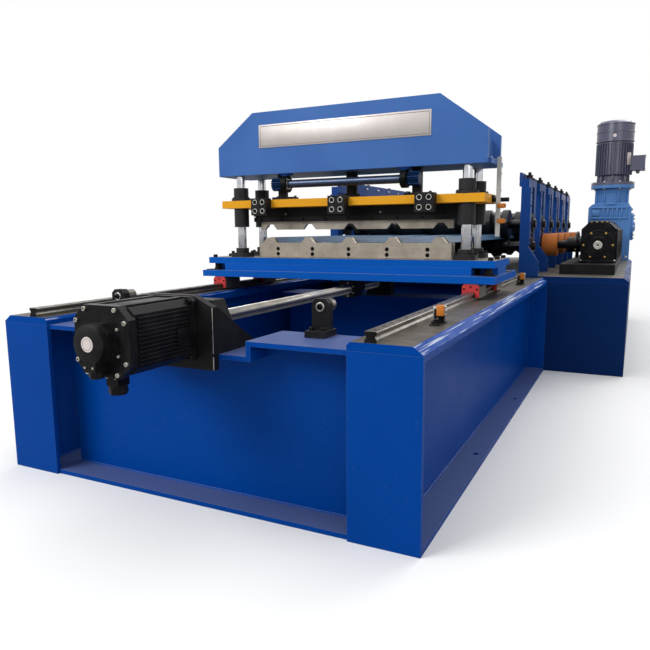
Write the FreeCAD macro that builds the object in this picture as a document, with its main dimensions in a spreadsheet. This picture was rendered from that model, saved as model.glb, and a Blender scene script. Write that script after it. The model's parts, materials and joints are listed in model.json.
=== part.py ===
# Roll forming machine for ribbed roofing sheet: the flying shear on its table, and
# behind it the last passes of the mill with their drive.
# X runs across the machine, Y along it from the outlet end to the mill, Z up.
# The origin is on the floor under the middle of the front cross beam. Millimetres.
import FreeCAD, Part
import math
import os
import re
import Sketcher
from FreeCAD import Placement, Rotation, Vector

# Driving sizes. A name that ends in _at is a place along Y, one that ends in _level a height.
SIZES = {
    # Welded table that the shear travels on
    "table_width": 1470,
    "table_front": 108,
    "table_rear": 2200,
    "beam_height": 508,
    "beam_width": 200,
    "flange": 14,
    "web": 10,
    "end_plate": 14,
    "cross_setback": 8,
    "notch_width": 460,
    "seat_level": 465,
    "seat_plate": 14,
    "screw_beam_at": 1500,
    "screw_beam_height": 478,
    "anchor_radius": 11,
    "anchor_edge": 35,
    "anchor_front_at": 642,
    "anchor_pitch": 808,
    "deck_thickness": 23,
    "deck_chamfer_wide": 27,
    "deck_chamfer_high": 20,
    "deck_inner_chamfer": 9,
    # Linear rails and their blocks
    "rail_gauge": 1196,
    "rail_width": 34,
    "rail_height": 29,
    "rail_waist": 5,
    "rail_chamfer": 2,
    "rail_setback": 4,
    "block_width": 70,
    "block_length": 112,
    "block_clear": 7,
    "block_inset": 7,
    "block_chamfer_wide": 8,
    "block_chamfer_high": 10,
    "slide_fit": 0.4,
    # Travel stops
    "stop_spacing": 760,
    "stop_width": 62,
    "stop_depth": 80,
    "stop_tail": 16,
    "stop_front_at": 18,
    "stop_base": 19,
    "stop_plate": 25,
    "stop_plate_width": 55,
    "stop_level": 615,
    "stop_chamfer": 12,
    "buffer_radius": 19,
    "buffer_length": 42,
    "buffer_level": 592,
    # Servo drive of the carriage
    "screw_level": 538,
    "screw_radius": 20,
    "screw_end_radius": 15,
    "screw_shoulder": 3,
    "screw_overhang": 6,
    "journal_fit": 0.05,
    "bracket_width": 280,
    "bracket_plate": 24,
    "bracket_bottom": 422,
    "bracket_top": 630,
    "bracket_chamfer": 31,
    "bracket_chamfer_run": 64,
    "bracket_base": 18,
    "bracket_depth": 176,
    "gusset": 16,
    "motor_bore": 58,
    "servo_size": 180,
    "servo_flange": 20,
    "servo_length": 264,
    "servo_corner": 34,
    "servo_body": 168,
    "servo_cap": 26,
    "encoder_radius": 48,
    "encoder_length": 44,
    "encoder_corner": 22,
    "encoder_base": 26,
    "plug_size": 40,
    "plug_drop": 30,
    "gland_radius": 22,
    "gland_drop": 23,
    "signal_drop": 22,
    "bearing_width": 130,
    "bearing_length": 62,
    "bearing_top": 600,
    "bearing_chamfer": 26,
    "front_bearing_at": 14,
    # Carriage under the shear
    "home_at": 928,
    "carriage_width": 1384,
    "carriage_length": 471,
    "carriage_level": 594,
    "carriage_plate": 29,
    "spacer_height": 31,
    "spacer_width": 70,
    "spacer_inset": 30,
    "spacer_corner": 62,
    "spacer_gap": 8,
    "corner_jack": 9,
    "bolster_width": 1364,
    "bolster_front_at": 967,
    "bolster_length": 305,
    "bolster_plate": 29,
    "nut_width": 104,
    "nut_length": 70,
    "nut_drop": 36,
    "nut_chamfer": 24,
    "nut_front_at": 1100,
    # Ribbed sheet: 25 mm ribs on a 210 mm pitch
    "rib_pitch": 210,
    "rib_height": 25,
    "rib_top": 26,
    "rib_foot": 68,
    "sheet_half": 462,
    "sheet_thickness": 1,
    "sheet_gap": 0.5,
    "sheet_tail": 60,
    "pass_level": 750,
    # Blades
    "blade_front_at": 1097,
    "blade_half": 474,
    "blade_thickness": 20,
    "punch_thickness": 16,
    "punch_gap": 0.5,
    "punch_level": 811,
    "punch_top": 849,
    "blade_bolt_pitch": 185,
    "blade_bolt_radius": 8,
    "blade_bolt_low": 697,
    "blade_bolt_step": 24,
    # Guide posts
    "post_spacing": 1090,
    "post_front_at": 1055,
    "post_rear_at": 1243,
    "post_radius": 20,
    "socket_size": 92,
    "socket_plate": 20,
    "socket_radius": 31,
    "socket_height": 22,
    # Slide that carries the upper blade
    "slide_width": 1250,
    "slide_front_at": 1010,
    "slide_length": 278,
    "slide_level": 913,
    "slide_plate": 35,
    "bush_radius": 35,
    "bush_flange_radius": 46,
    "bush_flange": 12,
    "bush_below": 88,
    "bush_above": 60,
    "holder_front_at": 1094,
    "holder_depth": 60,
    "holder_half": 500,
    "holder_step": 14,
    "holder_lip": 22,
    "clamp_width": 80,
    "clamp_depth": 46,
    "clamp_below": 36,
    "clamp_height": 77,
    "clamp_pitch": 392,
    "clamp_bolt_radius": 9,
    "clamp_bolt_step": 40,
    "clamp_bolt_deep": 9,
    # Top beam with the press cylinder
    "beam_level": 1063,
    "top_width": 1266,
    "top_front_at": 1005,
    "top_depth": 267,
    "top_plate": 20,
    "top_side": 132,
    "top_height": 276,
    "top_flat": 880,
    "foot_plate": 20,
    "foot_ledge": 12,
    "rib_plate": 16,
    "rib_place": 250,
    "top_box_inset": 90,
    "top_box_half": 60,
    "top_box_drop": 20,
    "cylinder_radius": 80,
    "cylinder_height": 240,
    "rod_radius": 26.5,
    "rod_flange_radius": 40,
    "rod_flange": 15,
    "rod_reach": 80,
    "bore_reach": 84,
    "rod_hole_radius": 34,
    # Rack and pinion that keeps the slide level
    "module": 3,
    "pinion_teeth": 18,
    "backlash": 0.5,
    "sync_level": 1017,
    "sync_at": 1039,
    "sync_radius": 18,
    "sync_half": 352,
    "pinion_width": 50,
    "hanger_radius": 38,
    "hanger_width": 25,
    "hanger_gap": 4,
    "hanger_arm": 34,
    "hanger_pad_ledge": 14,
    "hanger_pad": 7,
    "rack_width": 40,
    "rack_depth": 26,
    "rack_top": 1124,
    "rack_foot_width": 110,
    "rack_foot": 14,
    "rack_foot_depth": 60,
    "rack_window": 8,
    # Level switch bar
    "switch_bar": 16,
    "switch_bar_at": 1140,
    "switch_bar_low": 775,
    "switch_bar_top": 1095,
    "switch_body": 22,
    "switch_low": 839,
    "switch_high": 900,
    # Deck switches
    "deck_switch_inset": 73,
    "deck_switch_near_at": 267,
    "deck_switch_far_at": 1720,
    "deck_switch_width": 34,
    "deck_switch_height": 54,
    "deck_switch_plate": 5,
    "deck_sensor_length": 20,
    "deck_sensor_low": 22,
    "deck_sensor_high": 46,
    # Base of the mill
    "base_left": 735,
    "base_right": 1149,
    "base_length": 2460,
    "base_level": 540,
    "base_deck": 29,
    "base_wall": 14,
    # Mill stands
    "pass_count": 6,
    "first_driven_pass": 2,
    "first_pass_at": 2346,
    "pass_pitch": 430,
    "stand_inner": 573,
    "stand_plate": 42,
    "stand_length": 290,
    "stand_level": 1085,
    "stand_gusset": 65,
    "stand_gusset_plate": 30,
    "stand_gusset_low": 620,
    "stand_gusset_high": 717,
    "guide_width": 60,
    "guide_depth": 10,
    "guide_top": 1037,
    "window_width": 130,
    "window_low": 610,
    "window_top": 1046,
    "chock_half_height": 57,
    "chock_fit": 0.3,
    "chock_lip": 6,
    "tie_width": 12,
    "tie_height": 75,
    "tie_drop": 40,
    "jack_radius": 14,
    "jack_head_radius": 18,
    "jack_head": 30,
    # Roll shafts
    "lower_level": 705,
    "upper_level": 835,
    "shaft_radius": 25,
    "shaft_tail": 640,
    "shaft_drive_end": 915,
    "bore_clear": 3,
    "roll_half": 490,
    "coupling_near": 630,
    "coupling_far": 720,
    "coupling_radius": 72,
    # Gearboxes on the line shaft
    "line_x": 963,
    "line_radius": 20,
    "gearbox_width": 195,
    "gearbox_length": 230,
    "gearbox_bottom": 598,
    "gearbox_top": 842,
    "gearbox_corner": 40,
    "neck_radius": 46,
    "neck_length": 86,
    "cover_radius": 74,
    "cover_depth": 14,
    "pedestal_left": 770,
    "pedestal_right": 1071,
    "pedestal_front_at": 2440,
    "pedestal_tail": 20,
    "line_sleeve_radius": 34,
    "line_sleeve_half": 45,
    "line_nose": 12,
    # Main reducer and its motor
    "reducer_pass": 6,
    "reducer_left": 790,
    "reducer_right": 1122,
    "reducer_length": 262,
    "reducer_foot_ledge": 35,
    "reducer_top": 1011,
    "reducer_corner": 30,
    "reducer_foot": 26,
    "boss_radius": 115,
    "boss_depth": 22,
    "boss_level": 820,
    "turret_radius": 128,
    "turret_root": 5,
    "turret_flare": 42,
    "turret_lip": 30,
    "turret_top": 1143,
    "motor_flange_radius": 170,
    "motor_flange": 25,
    "motor_neck_radius": 108,
    "motor_neck": 50,
    "motor_shoulder": 12,
    "motor_radius": 130,
    "motor_length": 359,
    "motor_fin": 15,
    "motor_fin_root": 6,
    "motor_fin_gap": 14,
    "motor_fin_width": 5,
    "motor_fin_count": 36,
    "fan_cover_radius": 145,
    "fan_cover_height": 170,
    "fan_cover_crown": 18,
    "fan_cover_chamfer": 26,
    "terminal_width": 130,
    "terminal_height": 120,
    "terminal_depth": 90,
    "terminal_root": 30,
}

doc = FreeCAD.newDocument("RollFormingMachine")
sheet = doc.addObject("Spreadsheet::Sheet", "Sizes")
for row, (alias, amount) in enumerate(SIZES.items(), 1):
    sheet.set(f"A{row}", alias)
    sheet.set(f"B{row}", str(amount))
    sheet.setAlias(f"B{row}", alias)
doc.recompute()

ALIAS = re.compile(r"\b(" + "|".join(sorted(SIZES, key=len, reverse=True)) + r")\b")
UP = {
    "X": Rotation(Vector(0, 1, 0), 90),
    "Y": Rotation(Vector(1, 0, 0), -90),
    "Z": Rotation(),
}
nodes = []


def number(expression):
    return float(sheet.evalExpression(expression))


def bind(thing, name, expression):
    thing.setExpression(name, ALIAS.sub(r"Sizes.\1", expression))


def place(thing, x="0", y="0", z="0"):
    for letter, expression in zip("xyz", (x, y, z)):
        bind(thing, f"Placement.Base.{letter}", expression)


def node(label, thing):
    thing.Label = label
    nodes.append(thing)
    return thing


# Plain solids, given by the spans that they fill

def block(name, x, y, z):
    box = doc.addObject("Part::Box", name)
    for side, (low, high) in zip(("Length", "Width", "Height"), (x, y, z)):
        bind(box, side, f"({high}) - ({low})")
    place(box, x[0], y[0], z[0])
    return box


def rod(name, axis, centre, radius, span):
    cylinder = doc.addObject("Part::Cylinder", name)
    bind(cylinder, "Radius", radius)
    bind(cylinder, "Height", f"({span[1]}) - ({span[0]})")
    cylinder.Placement = Placement(Vector(), UP[axis])
    at = {"X": (span[0], *centre), "Y": (centre[0], span[0], centre[1]), "Z": (*centre, span[0])}
    place(cylinder, *at[axis])
    return cylinder


def joined(name, *pieces):
    whole = doc.addObject("Part::MultiFuse", name)
    whole.Shapes = pieces
    return whole


def group(name, *pieces):
    whole = doc.addObject("Part::Compound", name)
    whole.Links = pieces
    return whole


def cut(name, base, *tools):
    rest = doc.addObject("Part::Cut", name)
    rest.Base = base
    rest.Tool = tools[0] if len(tools) == 1 else joined(f"{name}_tools", *tools)
    return rest


# Solids drawn as sketches

def origin_plane(body, role):
    return next(f for f in body.Origin.OriginFeatures if f.Role == role)


def sketch_on(body, role, name):
    sketch = body.newObject("Sketcher::SketchObject", name)
    sketch.AttachmentSupport = [(origin_plane(body, role), "")]
    sketch.MapMode = "FlatFace"
    return sketch


def hold(sketch, kind, geometry, point, expression, amount):
    index = sketch.addConstraint(Sketcher.Constraint(kind, -1, 1, geometry, point, amount))
    title = f"{kind}{index}"
    sketch.renameConstraint(index, title)
    bind(sketch, f"Constraints.{title}", expression)


def draw_loop(sketch, points):
    first = sketch.GeometryCount
    count = len(points)
    amounts = [(number(a), number(b)) for a, b in points]
    for i, (start, end) in enumerate(zip(amounts, amounts[1:] + amounts[:1])):
        sketch.addGeometry(Part.LineSegment(Vector(*start, 0), Vector(*end, 0)), False)
    for i in range(count):
        after = first + (i + 1) % count
        sketch.addConstraint(Sketcher.Constraint("Coincident", first + i, 2, after, 1))
        hold(sketch, "DistanceX", first + i, 1, points[i][0], amounts[i][0])
        hold(sketch, "DistanceY", first + i, 1, points[i][1], amounts[i][1])


def draw_circle(sketch, centre, radius):
    index = sketch.GeometryCount
    x, y = number(centre[0]), number(centre[1])
    sketch.addGeometry(Part.Circle(Vector(x, y, 0), Vector(0, 0, 1), number(radius)), False)
    hold(sketch, "DistanceX", index, 3, centre[0], x)
    hold(sketch, "DistanceY", index, 3, centre[1], y)
    size = sketch.addConstraint(Sketcher.Constraint("Radius", index, number(radius)))
    sketch.renameConstraint(size, f"Radius{size}")
    bind(sketch, f"Constraints.Radius{size}", radius)


def prism(name, plane, points, span, at=("0", "0"), windows=(), holes=()):
    """A sketched outline in a plane, padded over a span of the third axis."""
    body = doc.addObject("PartDesign::Body", name)
    sketch = sketch_on(body, f"{plane}_Plane", f"{name}_outline")
    draw_loop(sketch, points)
    for window in windows:
        draw_loop(sketch, window)
    for centre, radius in holes:
        draw_circle(sketch, centre, radius)
    pad = body.newObject("PartDesign::Pad", f"{name}_pad")
    pad.Profile = sketch
    pad.Reversed = plane == "XZ"
    bind(pad, "Length", f"({span[1]}) - ({span[0]})")
    spots = {"XZ": (at[0], span[0], at[1]), "YZ": (span[0], *at), "XY": (*at, span[0])}
    place(body, *spots[plane])
    return body


def turned(name, axis, profile, centre):
    """A profile of (along the axis, radius) points turned once round the axis."""
    body = doc.addObject("PartDesign::Body", name)
    sketch = sketch_on(body, "XZ_Plane" if axis == "Z" else "XY_Plane", f"{name}_profile")
    draw_loop(sketch, profile if axis == "X" else [(r, a) for a, r in profile])
    turn = body.newObject("PartDesign::Revolution", f"{name}_turn")
    turn.Profile = sketch
    turn.ReferenceAxis = (sketch, ["H_Axis" if axis == "X" else "V_Axis"])
    turn.Angle = 360
    at = {"X": ("0", *centre), "Y": (centre[0], "0", centre[1]), "Z": (*centre, "0")}
    place(body, *at[axis])
    return body


def mirrored_pair(expression):
    return f"-({expression})", f"({expression})"


# Derived places

TABLE_FRONT = "(-table_front)"
HALF_TABLE = "(table_width/2)"
BEAM_INNER = "(table_width/2 - beam_width)"
BEAM_MIDDLE = "(table_width/2 - beam_width/2)"
DECK_LEVEL = "(beam_height + deck_thickness)"
RAIL_X = "(rail_gauge/2)"
PLATE_TOP = "(carriage_level + carriage_plate)"
BOLSTER_LOW = f"({PLATE_TOP} + spacer_height)"
BOLSTER_TOP = f"({BOLSTER_LOW} + bolster_plate)"
PUNCH_FRONT = "(blade_front_at + blade_thickness + punch_gap)"
DIE_FRONT = f"({PUNCH_FRONT} + punch_thickness + punch_gap)"
DIE_LEVEL = "(pass_level - sheet_thickness/2 - sheet_gap)"
SLIDE_TOP = "(slide_level + slide_plate)"
CARRIAGE_REAR = "(home_at + carriage_length)"
BRACKET_FRONT = "(-beam_width/2 - bracket_plate)"
DECK_SWITCH_X = f"({HALF_TABLE} - deck_switch_inset)"
MOTOR_X = "line_x"


def pass_at(index):
    return f"(first_pass_at + {index}*pass_pitch)"


def ribbed(level, half, thickness=None, count=2):
    """Points of the ribbed line at a height, and back under it at a thickness."""
    ups = []
    for i in range(-count, count + 1):
        middle = f"{i}*rib_pitch"
        ups += [
            (f"{middle} - rib_foot/2", level),
            (f"{middle} - rib_top/2", f"{level} + rib_height"),
            (f"{middle} + rib_top/2", f"{level} + rib_height"),
            (f"{middle} + rib_foot/2", level),
        ]
    line = [(f"-({half})", level), *ups, (half, level)]
    if thickness is None:
        return line
    under = [(x, f"{y} - {thickness}") for x, y in reversed(line)]
    return line + under


# Table

def h_section(height):
    wide, thin = "beam_width/2", "web/2"
    right = [(wide, "0"), (wide, "flange"), (thin, "flange"), (thin, f"{height} - flange"),
             (wide, f"{height} - flange"), (wide, height)]
    left = [(f"-({x})", z) for x, z in reversed(right)]
    return right + left


def side_beam(label, side):
    middle = f"{side}*{BEAM_MIDDLE}"
    across = (f"{middle} - beam_width/2", f"{middle} + beam_width/2")
    section = prism(f"{label}_section", "XZ", h_section("beam_height"),
                    (TABLE_FRONT, "table_rear"), at=(middle, "0"))
    plates = [
        block(f"{label}_front_plate", across, (TABLE_FRONT, f"{TABLE_FRONT} + end_plate"),
              ("0", "beam_height")),
        block(f"{label}_rear_plate", across, ("table_rear - end_plate", "table_rear"),
              ("0", "beam_height")),
    ]
    hole_x = f"{side}*({HALF_TABLE} - anchor_edge)"
    holes = [
        rod(f"{label}_anchor_{i}", "Z", (hole_x, f"anchor_front_at + {i}*anchor_pitch"),
            "anchor_radius", ("-1", "flange + 1"))
        for i in range(2)
    ]
    node(label, cut(label, joined(f"{label}_weld", section, *plates), *holes))


def cross_beam(name, middle, height):
    return prism(name, "YZ", h_section(height), mirrored_pair(BEAM_INNER), at=(middle, "0"))


def front_cross_beam():
    whole = cross_beam("front_cross_section", "0", "beam_height")
    half = "notch_width/2"
    low = "seat_level - seat_plate"
    depth = ("-beam_width/2", "beam_width/2")
    opening = block("seat_notch", mirrored_pair(half), ("-beam_width", "beam_width"),
                    (low, "beam_height + 1"))
    seat = block("seat", mirrored_pair(half), depth, (low, "seat_level"))
    cheeks = [
        block(f"seat_cheek_{side}", (f"{half}", f"{half} + seat_plate") if side > 0 else
              (f"-{half} - seat_plate", f"-{half}"), depth, (low, "beam_height - flange"))
        for side in (-1, 1)
    ]
    node("front_cross_beam", joined("front_cross_beam", cut("notched_beam", whole, opening),
                                    seat, *cheeks))


def rail_seats():
    halves = []
    for side in (-1, 1):
        inner, outer = BEAM_INNER, HALF_TABLE
        points = [
            (inner, "beam_height"), (outer, "beam_height"),
            (outer, f"{DECK_LEVEL} - deck_chamfer_high"),
            (f"{outer} - deck_chamfer_wide", DECK_LEVEL),
            (f"{inner} + deck_inner_chamfer", DECK_LEVEL),
            (inner, f"{DECK_LEVEL} - deck_inner_chamfer"),
        ]
        points = [(f"{side}*({x})", z) for x, z in points]
        halves.append(prism(f"rail_seat_{side}", "XZ", points, (TABLE_FRONT, "table_rear")))
    node("rail_seats", group("rail_seats", *halves))


def rail_section(side):
    half = "rail_width/2"
    waist = "rail_width/2 - rail_waist"
    right = [(half, "0"), (half, "rail_height*0.3"), (waist, "rail_height*0.5"),
             (waist, "rail_height*0.62"), (half, "rail_height*0.78"), (half, "rail_height - rail_chamfer"),
             (f"{half} - rail_chamfer", "rail_height")]
    return right + [(f"-({x})", z) for x, z in reversed(right)]


def linear_rails():
    rails = [
        prism(f"rail_{side}", "XZ", rail_section(side),
              (f"{TABLE_FRONT} + rail_setback", "table_rear - rail_setback"),
              at=(f"{side}*{RAIL_X}", DECK_LEVEL))
        for side in (-1, 1)
    ]
    node("linear_rails", group("linear_rails", *rails))


def travel_stops():
    stops, buffers = [], []
    for side in (-1, 1):
        x = f"{side}*stop_spacing/2"
        front = "stop_front_at"
        plate_low = "beam_height + stop_base"
        base = block(f"stop_base_{side}", (f"{x} - stop_width/2", f"{x} + stop_width/2"),
                     (front, f"{front} + stop_depth"), ("beam_height", plate_low))
        half = "stop_plate_width/2"
        outline = [(f"-{half}", plate_low), (half, plate_low),
                   (half, "stop_level - stop_chamfer"), (f"{half} - stop_chamfer", "stop_level"),
                   (f"-{half} + stop_chamfer", "stop_level"),
                   (f"-{half}", "stop_level - stop_chamfer")]
        plate_back = f"{front} + stop_depth - stop_tail"
        upright = prism(f"stop_upright_{side}", "XZ", outline,
                        (f"{plate_back} - stop_plate", plate_back), at=(x, "0"))
        stops.append(joined(f"stop_{side}", base, upright))
        buffers.append(rod(f"buffer_{side}", "Y", (x, "buffer_level"), "buffer_radius",
                           (plate_back, f"{plate_back} + buffer_length")))
    node("travel_stops", group("travel_stops", *stops))
    node("stop_buffers", group("stop_buffers", *buffers))


# Carriage drive

def servo_bracket():
    half = "bracket_width/2"
    front = [(f"-{half}", "bracket_bottom"), (half, "bracket_bottom"),
             (half, "bracket_top - bracket_chamfer"), (f"{half} - bracket_chamfer_run", "bracket_top"),
             (f"-{half} + bracket_chamfer_run", "bracket_top"),
             (f"-{half}", "bracket_top - bracket_chamfer")]
    face = prism("bracket_face", "XZ", front, (BRACKET_FRONT, "-beam_width/2"),
                 holes=[(("0", "screw_level"), "motor_bore")])
    foot_top = "seat_level + bracket_base"
    foot = block("bracket_foot", mirrored_pair(half),
                 ("-beam_width/2", "-beam_width/2 + bracket_depth"), ("seat_level", foot_top))
    side = [("-beam_width/2", foot_top), ("-beam_width/2 + bracket_depth", foot_top),
            ("-beam_width/2", "bracket_top - bracket_chamfer")]
    gussets = [
        prism("gusset_left", "YZ", side, (f"-{half}", f"-{half} + gusset")),
        prism("gusset_right", "YZ", side, (f"{half} - gusset", half)),
    ]
    node("servo_bracket", joined("servo_bracket", face, foot, *gussets))


def cut_corner_square(size, corner, level="0"):
    half = f"({size}/2)"
    near = f"({size}/2 - {corner})"
    return [(f"-{near}", f"{level} - {half}"), (near, f"{level} - {half}"),
            (half, f"{level} - {near}"), (half, f"{level} + {near}"),
            (near, f"{level} + {half}"), (f"-{near}", f"{level} + {half}"),
            (f"-{half}", f"{level} + {near}"), (f"-{half}", f"{level} - {near}")]


def servo_motor():
    face = BRACKET_FRONT
    tail = f"({face} - servo_length)"
    square = cut_corner_square("servo_size", "servo_corner/3")
    flange = prism("servo_face", "XZ", square, (f"{face} - servo_flange", face),
                   at=("0", "screw_level"))
    case = prism("servo_case", "XZ", cut_corner_square("servo_body", "servo_corner/2"),
                 (f"{tail} + servo_cap", f"{face} - servo_flange"), at=("0", "screw_level"))
    cap = prism("servo_end_cap", "XZ", cut_corner_square("servo_size", "servo_corner"),
                (tail, f"{tail} + servo_cap"), at=("0", "screw_level"))
    encoder = rod("servo_encoder", "Y", ("0", "screw_level"), "encoder_radius",
                  (f"{tail} - encoder_length", tail))
    base = prism("servo_encoder_base", "XZ", cut_corner_square("encoder_radius*2", "encoder_corner"),
                 (f"{tail} - encoder_base", tail), at=("0", "screw_level"))
    half = "plug_size/2"
    low = "(screw_level - servo_size/2 - plug_drop)"
    start = f"({tail} + servo_cap)"
    power = block("servo_power_plug", mirrored_pair(half), (start, f"{start} + plug_size"),
                  (low, "screw_level"))
    gland = rod("servo_gland", "Z", ("0", f"{start} + plug_size/2"), "gland_radius",
                (f"{low} - gland_drop", low))
    signal = block("servo_signal_plug", mirrored_pair(half), (f"{tail} - encoder_length", tail),
                   ("screw_level - encoder_radius - signal_drop", "screw_level"))
    spigot = rod("servo_spigot", "Y", ("0", "screw_level"), "motor_bore - slide_fit",
                 (face, f"{face} + bracket_plate/2"))
    node("servo_motor", joined("servo_motor", flange, case, cap, encoder, base, power,
                               gland, signal, spigot))


def screw_bearings():
    seats = []
    for name, at, low in (("front", "front_bearing_at", "seat_level + bracket_base"),
                          ("rear", "screw_beam_at - bearing_length/2", "screw_beam_height")):
        half = "bearing_width/2"
        outline = [(f"-{half}", low), (half, low), (half, "screw_level"),
                   (f"{half} - bearing_chamfer", "bearing_top"),
                   (f"-{half} + bearing_chamfer", "bearing_top"),
                   (f"-{half}", "screw_level")]
        seats.append(prism(f"screw_bearing_{name}", "XZ", outline, (at, f"{at} + bearing_length"),
                           holes=[(("0", "screw_level"), "screw_end_radius + journal_fit")]))
    node("screw_bearings", group("screw_bearings", *seats))


def ball_screw():
    start = f"({BRACKET_FRONT} + bracket_plate/2 + screw_overhang)"
    near = "(front_bearing_at + bearing_length + screw_shoulder)"
    far = "(screw_beam_at - bearing_length/2 - screw_shoulder)"
    end = "(screw_beam_at + bearing_length/2 + screw_overhang)"
    profile = [(start, "0"), (start, "screw_end_radius"), (near, "screw_end_radius"),
               (near, "screw_radius"), (far, "screw_radius"), (far, "screw_end_radius"),
               (end, "screw_end_radius"), (end, "0")]
    node("ball_screw", turned("ball_screw", "Y", profile, ("0", "screw_level")))


def deck_switches():
    switches = []
    half = "deck_switch_width/2"
    for name, at in (("near", "deck_switch_near_at"), ("far", "deck_switch_far_at")):
        x = (f"{DECK_SWITCH_X} - {half}", f"{DECK_SWITCH_X} + {half}")
        foot = block(f"switch_foot_{name}", x, (at, f"{at} + deck_switch_width"),
                     (DECK_LEVEL, f"{DECK_LEVEL} + deck_switch_plate"))
        wall = block(f"switch_wall_{name}", x, (at, f"{at} + deck_switch_plate"),
                     (DECK_LEVEL, f"{DECK_LEVEL} + deck_switch_height"))
        sensor = block(f"switch_sensor_{name}",
                       (f"{DECK_SWITCH_X} - {half}/2", f"{DECK_SWITCH_X} + {half}/2"),
                       (f"{at} - deck_sensor_length", at),
                       (f"{DECK_LEVEL} + deck_sensor_low", f"{DECK_LEVEL} + deck_sensor_high"))
        switches.append(joined(f"deck_switch_{name}", foot, wall, sensor))
    node("deck_switches", group("deck_switches", *switches))


# Carriage

def carriage_plate():
    node("carriage_plate", block("carriage_plate", mirrored_pair("carriage_width/2"),
                                 ("home_at", CARRIAGE_REAR), ("carriage_level", PLATE_TOP)))


def linear_blocks():
    half = "(block_width/2)"
    low = f"({DECK_LEVEL} + block_clear)"
    top = "carriage_level"
    slot = "(rail_width/2 + slide_fit)"
    roof = f"({DECK_LEVEL} + rail_height + slide_fit)"
    outline = [(f"-{half}", low), (f"-{slot}", low), (f"-{slot}", roof), (slot, roof),
               (slot, low), (half, low), (half, f"{top} - block_chamfer_high"),
               (f"{half} - block_chamfer_wide", top), (f"-{half} + block_chamfer_wide", top),
               (f"-{half}", f"{top} - block_chamfer_high")]
    blocks = []
    for side in (-1, 1):
        for name, at in (("front", "(home_at + block_inset)"),
                         ("rear", f"({CARRIAGE_REAR} - block_inset - block_length)")):
            blocks.append(prism(f"linear_block_{name}_{side}", "XZ", outline,
                                (at, f"{at} + block_length"), at=(f"{side}*{RAIL_X}", "0")))
    node("linear_blocks", group("linear_blocks", *blocks))


def carriage_spacers():
    half = "(bolster_width/2)"
    front = "bolster_front_at"
    rear = "(bolster_front_at + bolster_length)"
    corner = "spacer_corner"
    high = (PLATE_TOP, BOLSTER_LOW)
    across = (f"-{half} + {corner} + spacer_inset", f"{half} - {corner} - spacer_inset")
    along = (f"{front} + {corner} + spacer_gap", f"{rear} - {corner} - spacer_gap")
    bars = [
        block("spacer_front", across, (front, f"{front} + spacer_width"), high),
        block("spacer_rear", across, (f"{rear} - spacer_width", rear), high),
        block("spacer_left", (f"-{half}", f"-{half} + spacer_width"), along, high),
        block("spacer_right", (f"{half} - spacer_width", half), along, high),
    ]
    jacks = [
        rod(f"spacer_jack_{side}_{end}", "Z", (f"{side}*({half} - {corner}/2)", at), "corner_jack",
            high)
        for side in (-1, 1)
        for end, at in (("front", f"{front} + {corner}/2"), ("rear", f"{rear} - {corner}/2"))
    ]
    node("carriage_spacers", group("carriage_spacers", *bars, *jacks))


def bolster():
    node("bolster", block("bolster", mirrored_pair("bolster_width/2"),
                          ("bolster_front_at", "bolster_front_at + bolster_length"),
                          (BOLSTER_LOW, BOLSTER_TOP)))


def die(name, front, holes=()):
    outline = ribbed(DIE_LEVEL, "blade_half") + [("blade_half", BOLSTER_TOP),
                                                     ("-blade_half", BOLSTER_TOP)]
    return prism(name, "XZ", outline, (front, f"{front} + blade_thickness"), holes=holes)


def lower_blades():
    holes = [
        ((f"{i}*blade_bolt_pitch", f"blade_bolt_low + {k}*blade_bolt_step"), "blade_bolt_radius")
        for i in range(-2, 3) for k in range(2)
    ]
    node("lower_blades", group("lower_blades", die("front_die", "blade_front_at", holes),
                               die("rear_die", DIE_FRONT)))


def guide_posts():
    posts, sockets = [], []
    collar = "socket_plate + socket_height"
    for side in (-1, 1):
        for name, at in (("front", "post_front_at"), ("rear", "post_rear_at")):
            x = f"{side}*post_spacing/2"
            square = cut_corner_square("socket_size", "socket_size/6")
            foot = prism(f"socket_foot_{name}_{side}", "XY", square,
                         (BOLSTER_TOP, f"{BOLSTER_TOP} + socket_plate"), at=(x, at))
            ring = rod(f"socket_collar_{name}_{side}", "Z", (x, at), "socket_radius",
                       (BOLSTER_TOP, f"{BOLSTER_TOP} + {collar}"))
            bore = rod(f"socket_bore_{name}_{side}", "Z", (x, at), "post_radius",
                       (BOLSTER_TOP, f"{BOLSTER_TOP} + {collar} + 1"))
            sockets.append(cut(f"socket_{name}_{side}", joined(f"socket_body_{name}_{side}", foot,
                                                               ring), bore))
            posts.append(rod(f"post_{name}_{side}", "Z", (x, at), "post_radius",
                             (BOLSTER_TOP, "beam_level")))
    node("guide_posts", group("guide_posts", *posts))
    node("post_sockets", group("post_sockets", *sockets))


def ball_nut():
    half = "nut_width/2"
    low = "screw_level - nut_drop"
    outline = [(f"-{half}", "carriage_level"), (f"-{half}", "screw_level"),
               (f"-{half} + nut_chamfer", low), (f"{half} - nut_chamfer", low), (half, "screw_level"),
               (half, "carriage_level")]
    housing = prism("nut_body", "XZ", outline, ("nut_front_at", "nut_front_at + nut_length"),
                    holes=[(("0", "screw_level"), "screw_radius + slide_fit")])
    node("ball_nut", housing)


# Slide

def slide_plate():
    half = "slide_width/2"
    outline = [(f"-{half}", "slide_front_at"), (half, "slide_front_at"),
               (half, "slide_front_at + slide_length"), (f"-{half}", "slide_front_at + slide_length")]
    holes = [((f"{side}*post_spacing/2", at), "bush_radius")
             for side in (-1, 1) for at in ("post_front_at", "post_rear_at")]
    node("slide_plate", prism("slide_plate", "XY", outline, ("slide_level", SLIDE_TOP),
                              holes=holes))


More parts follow.
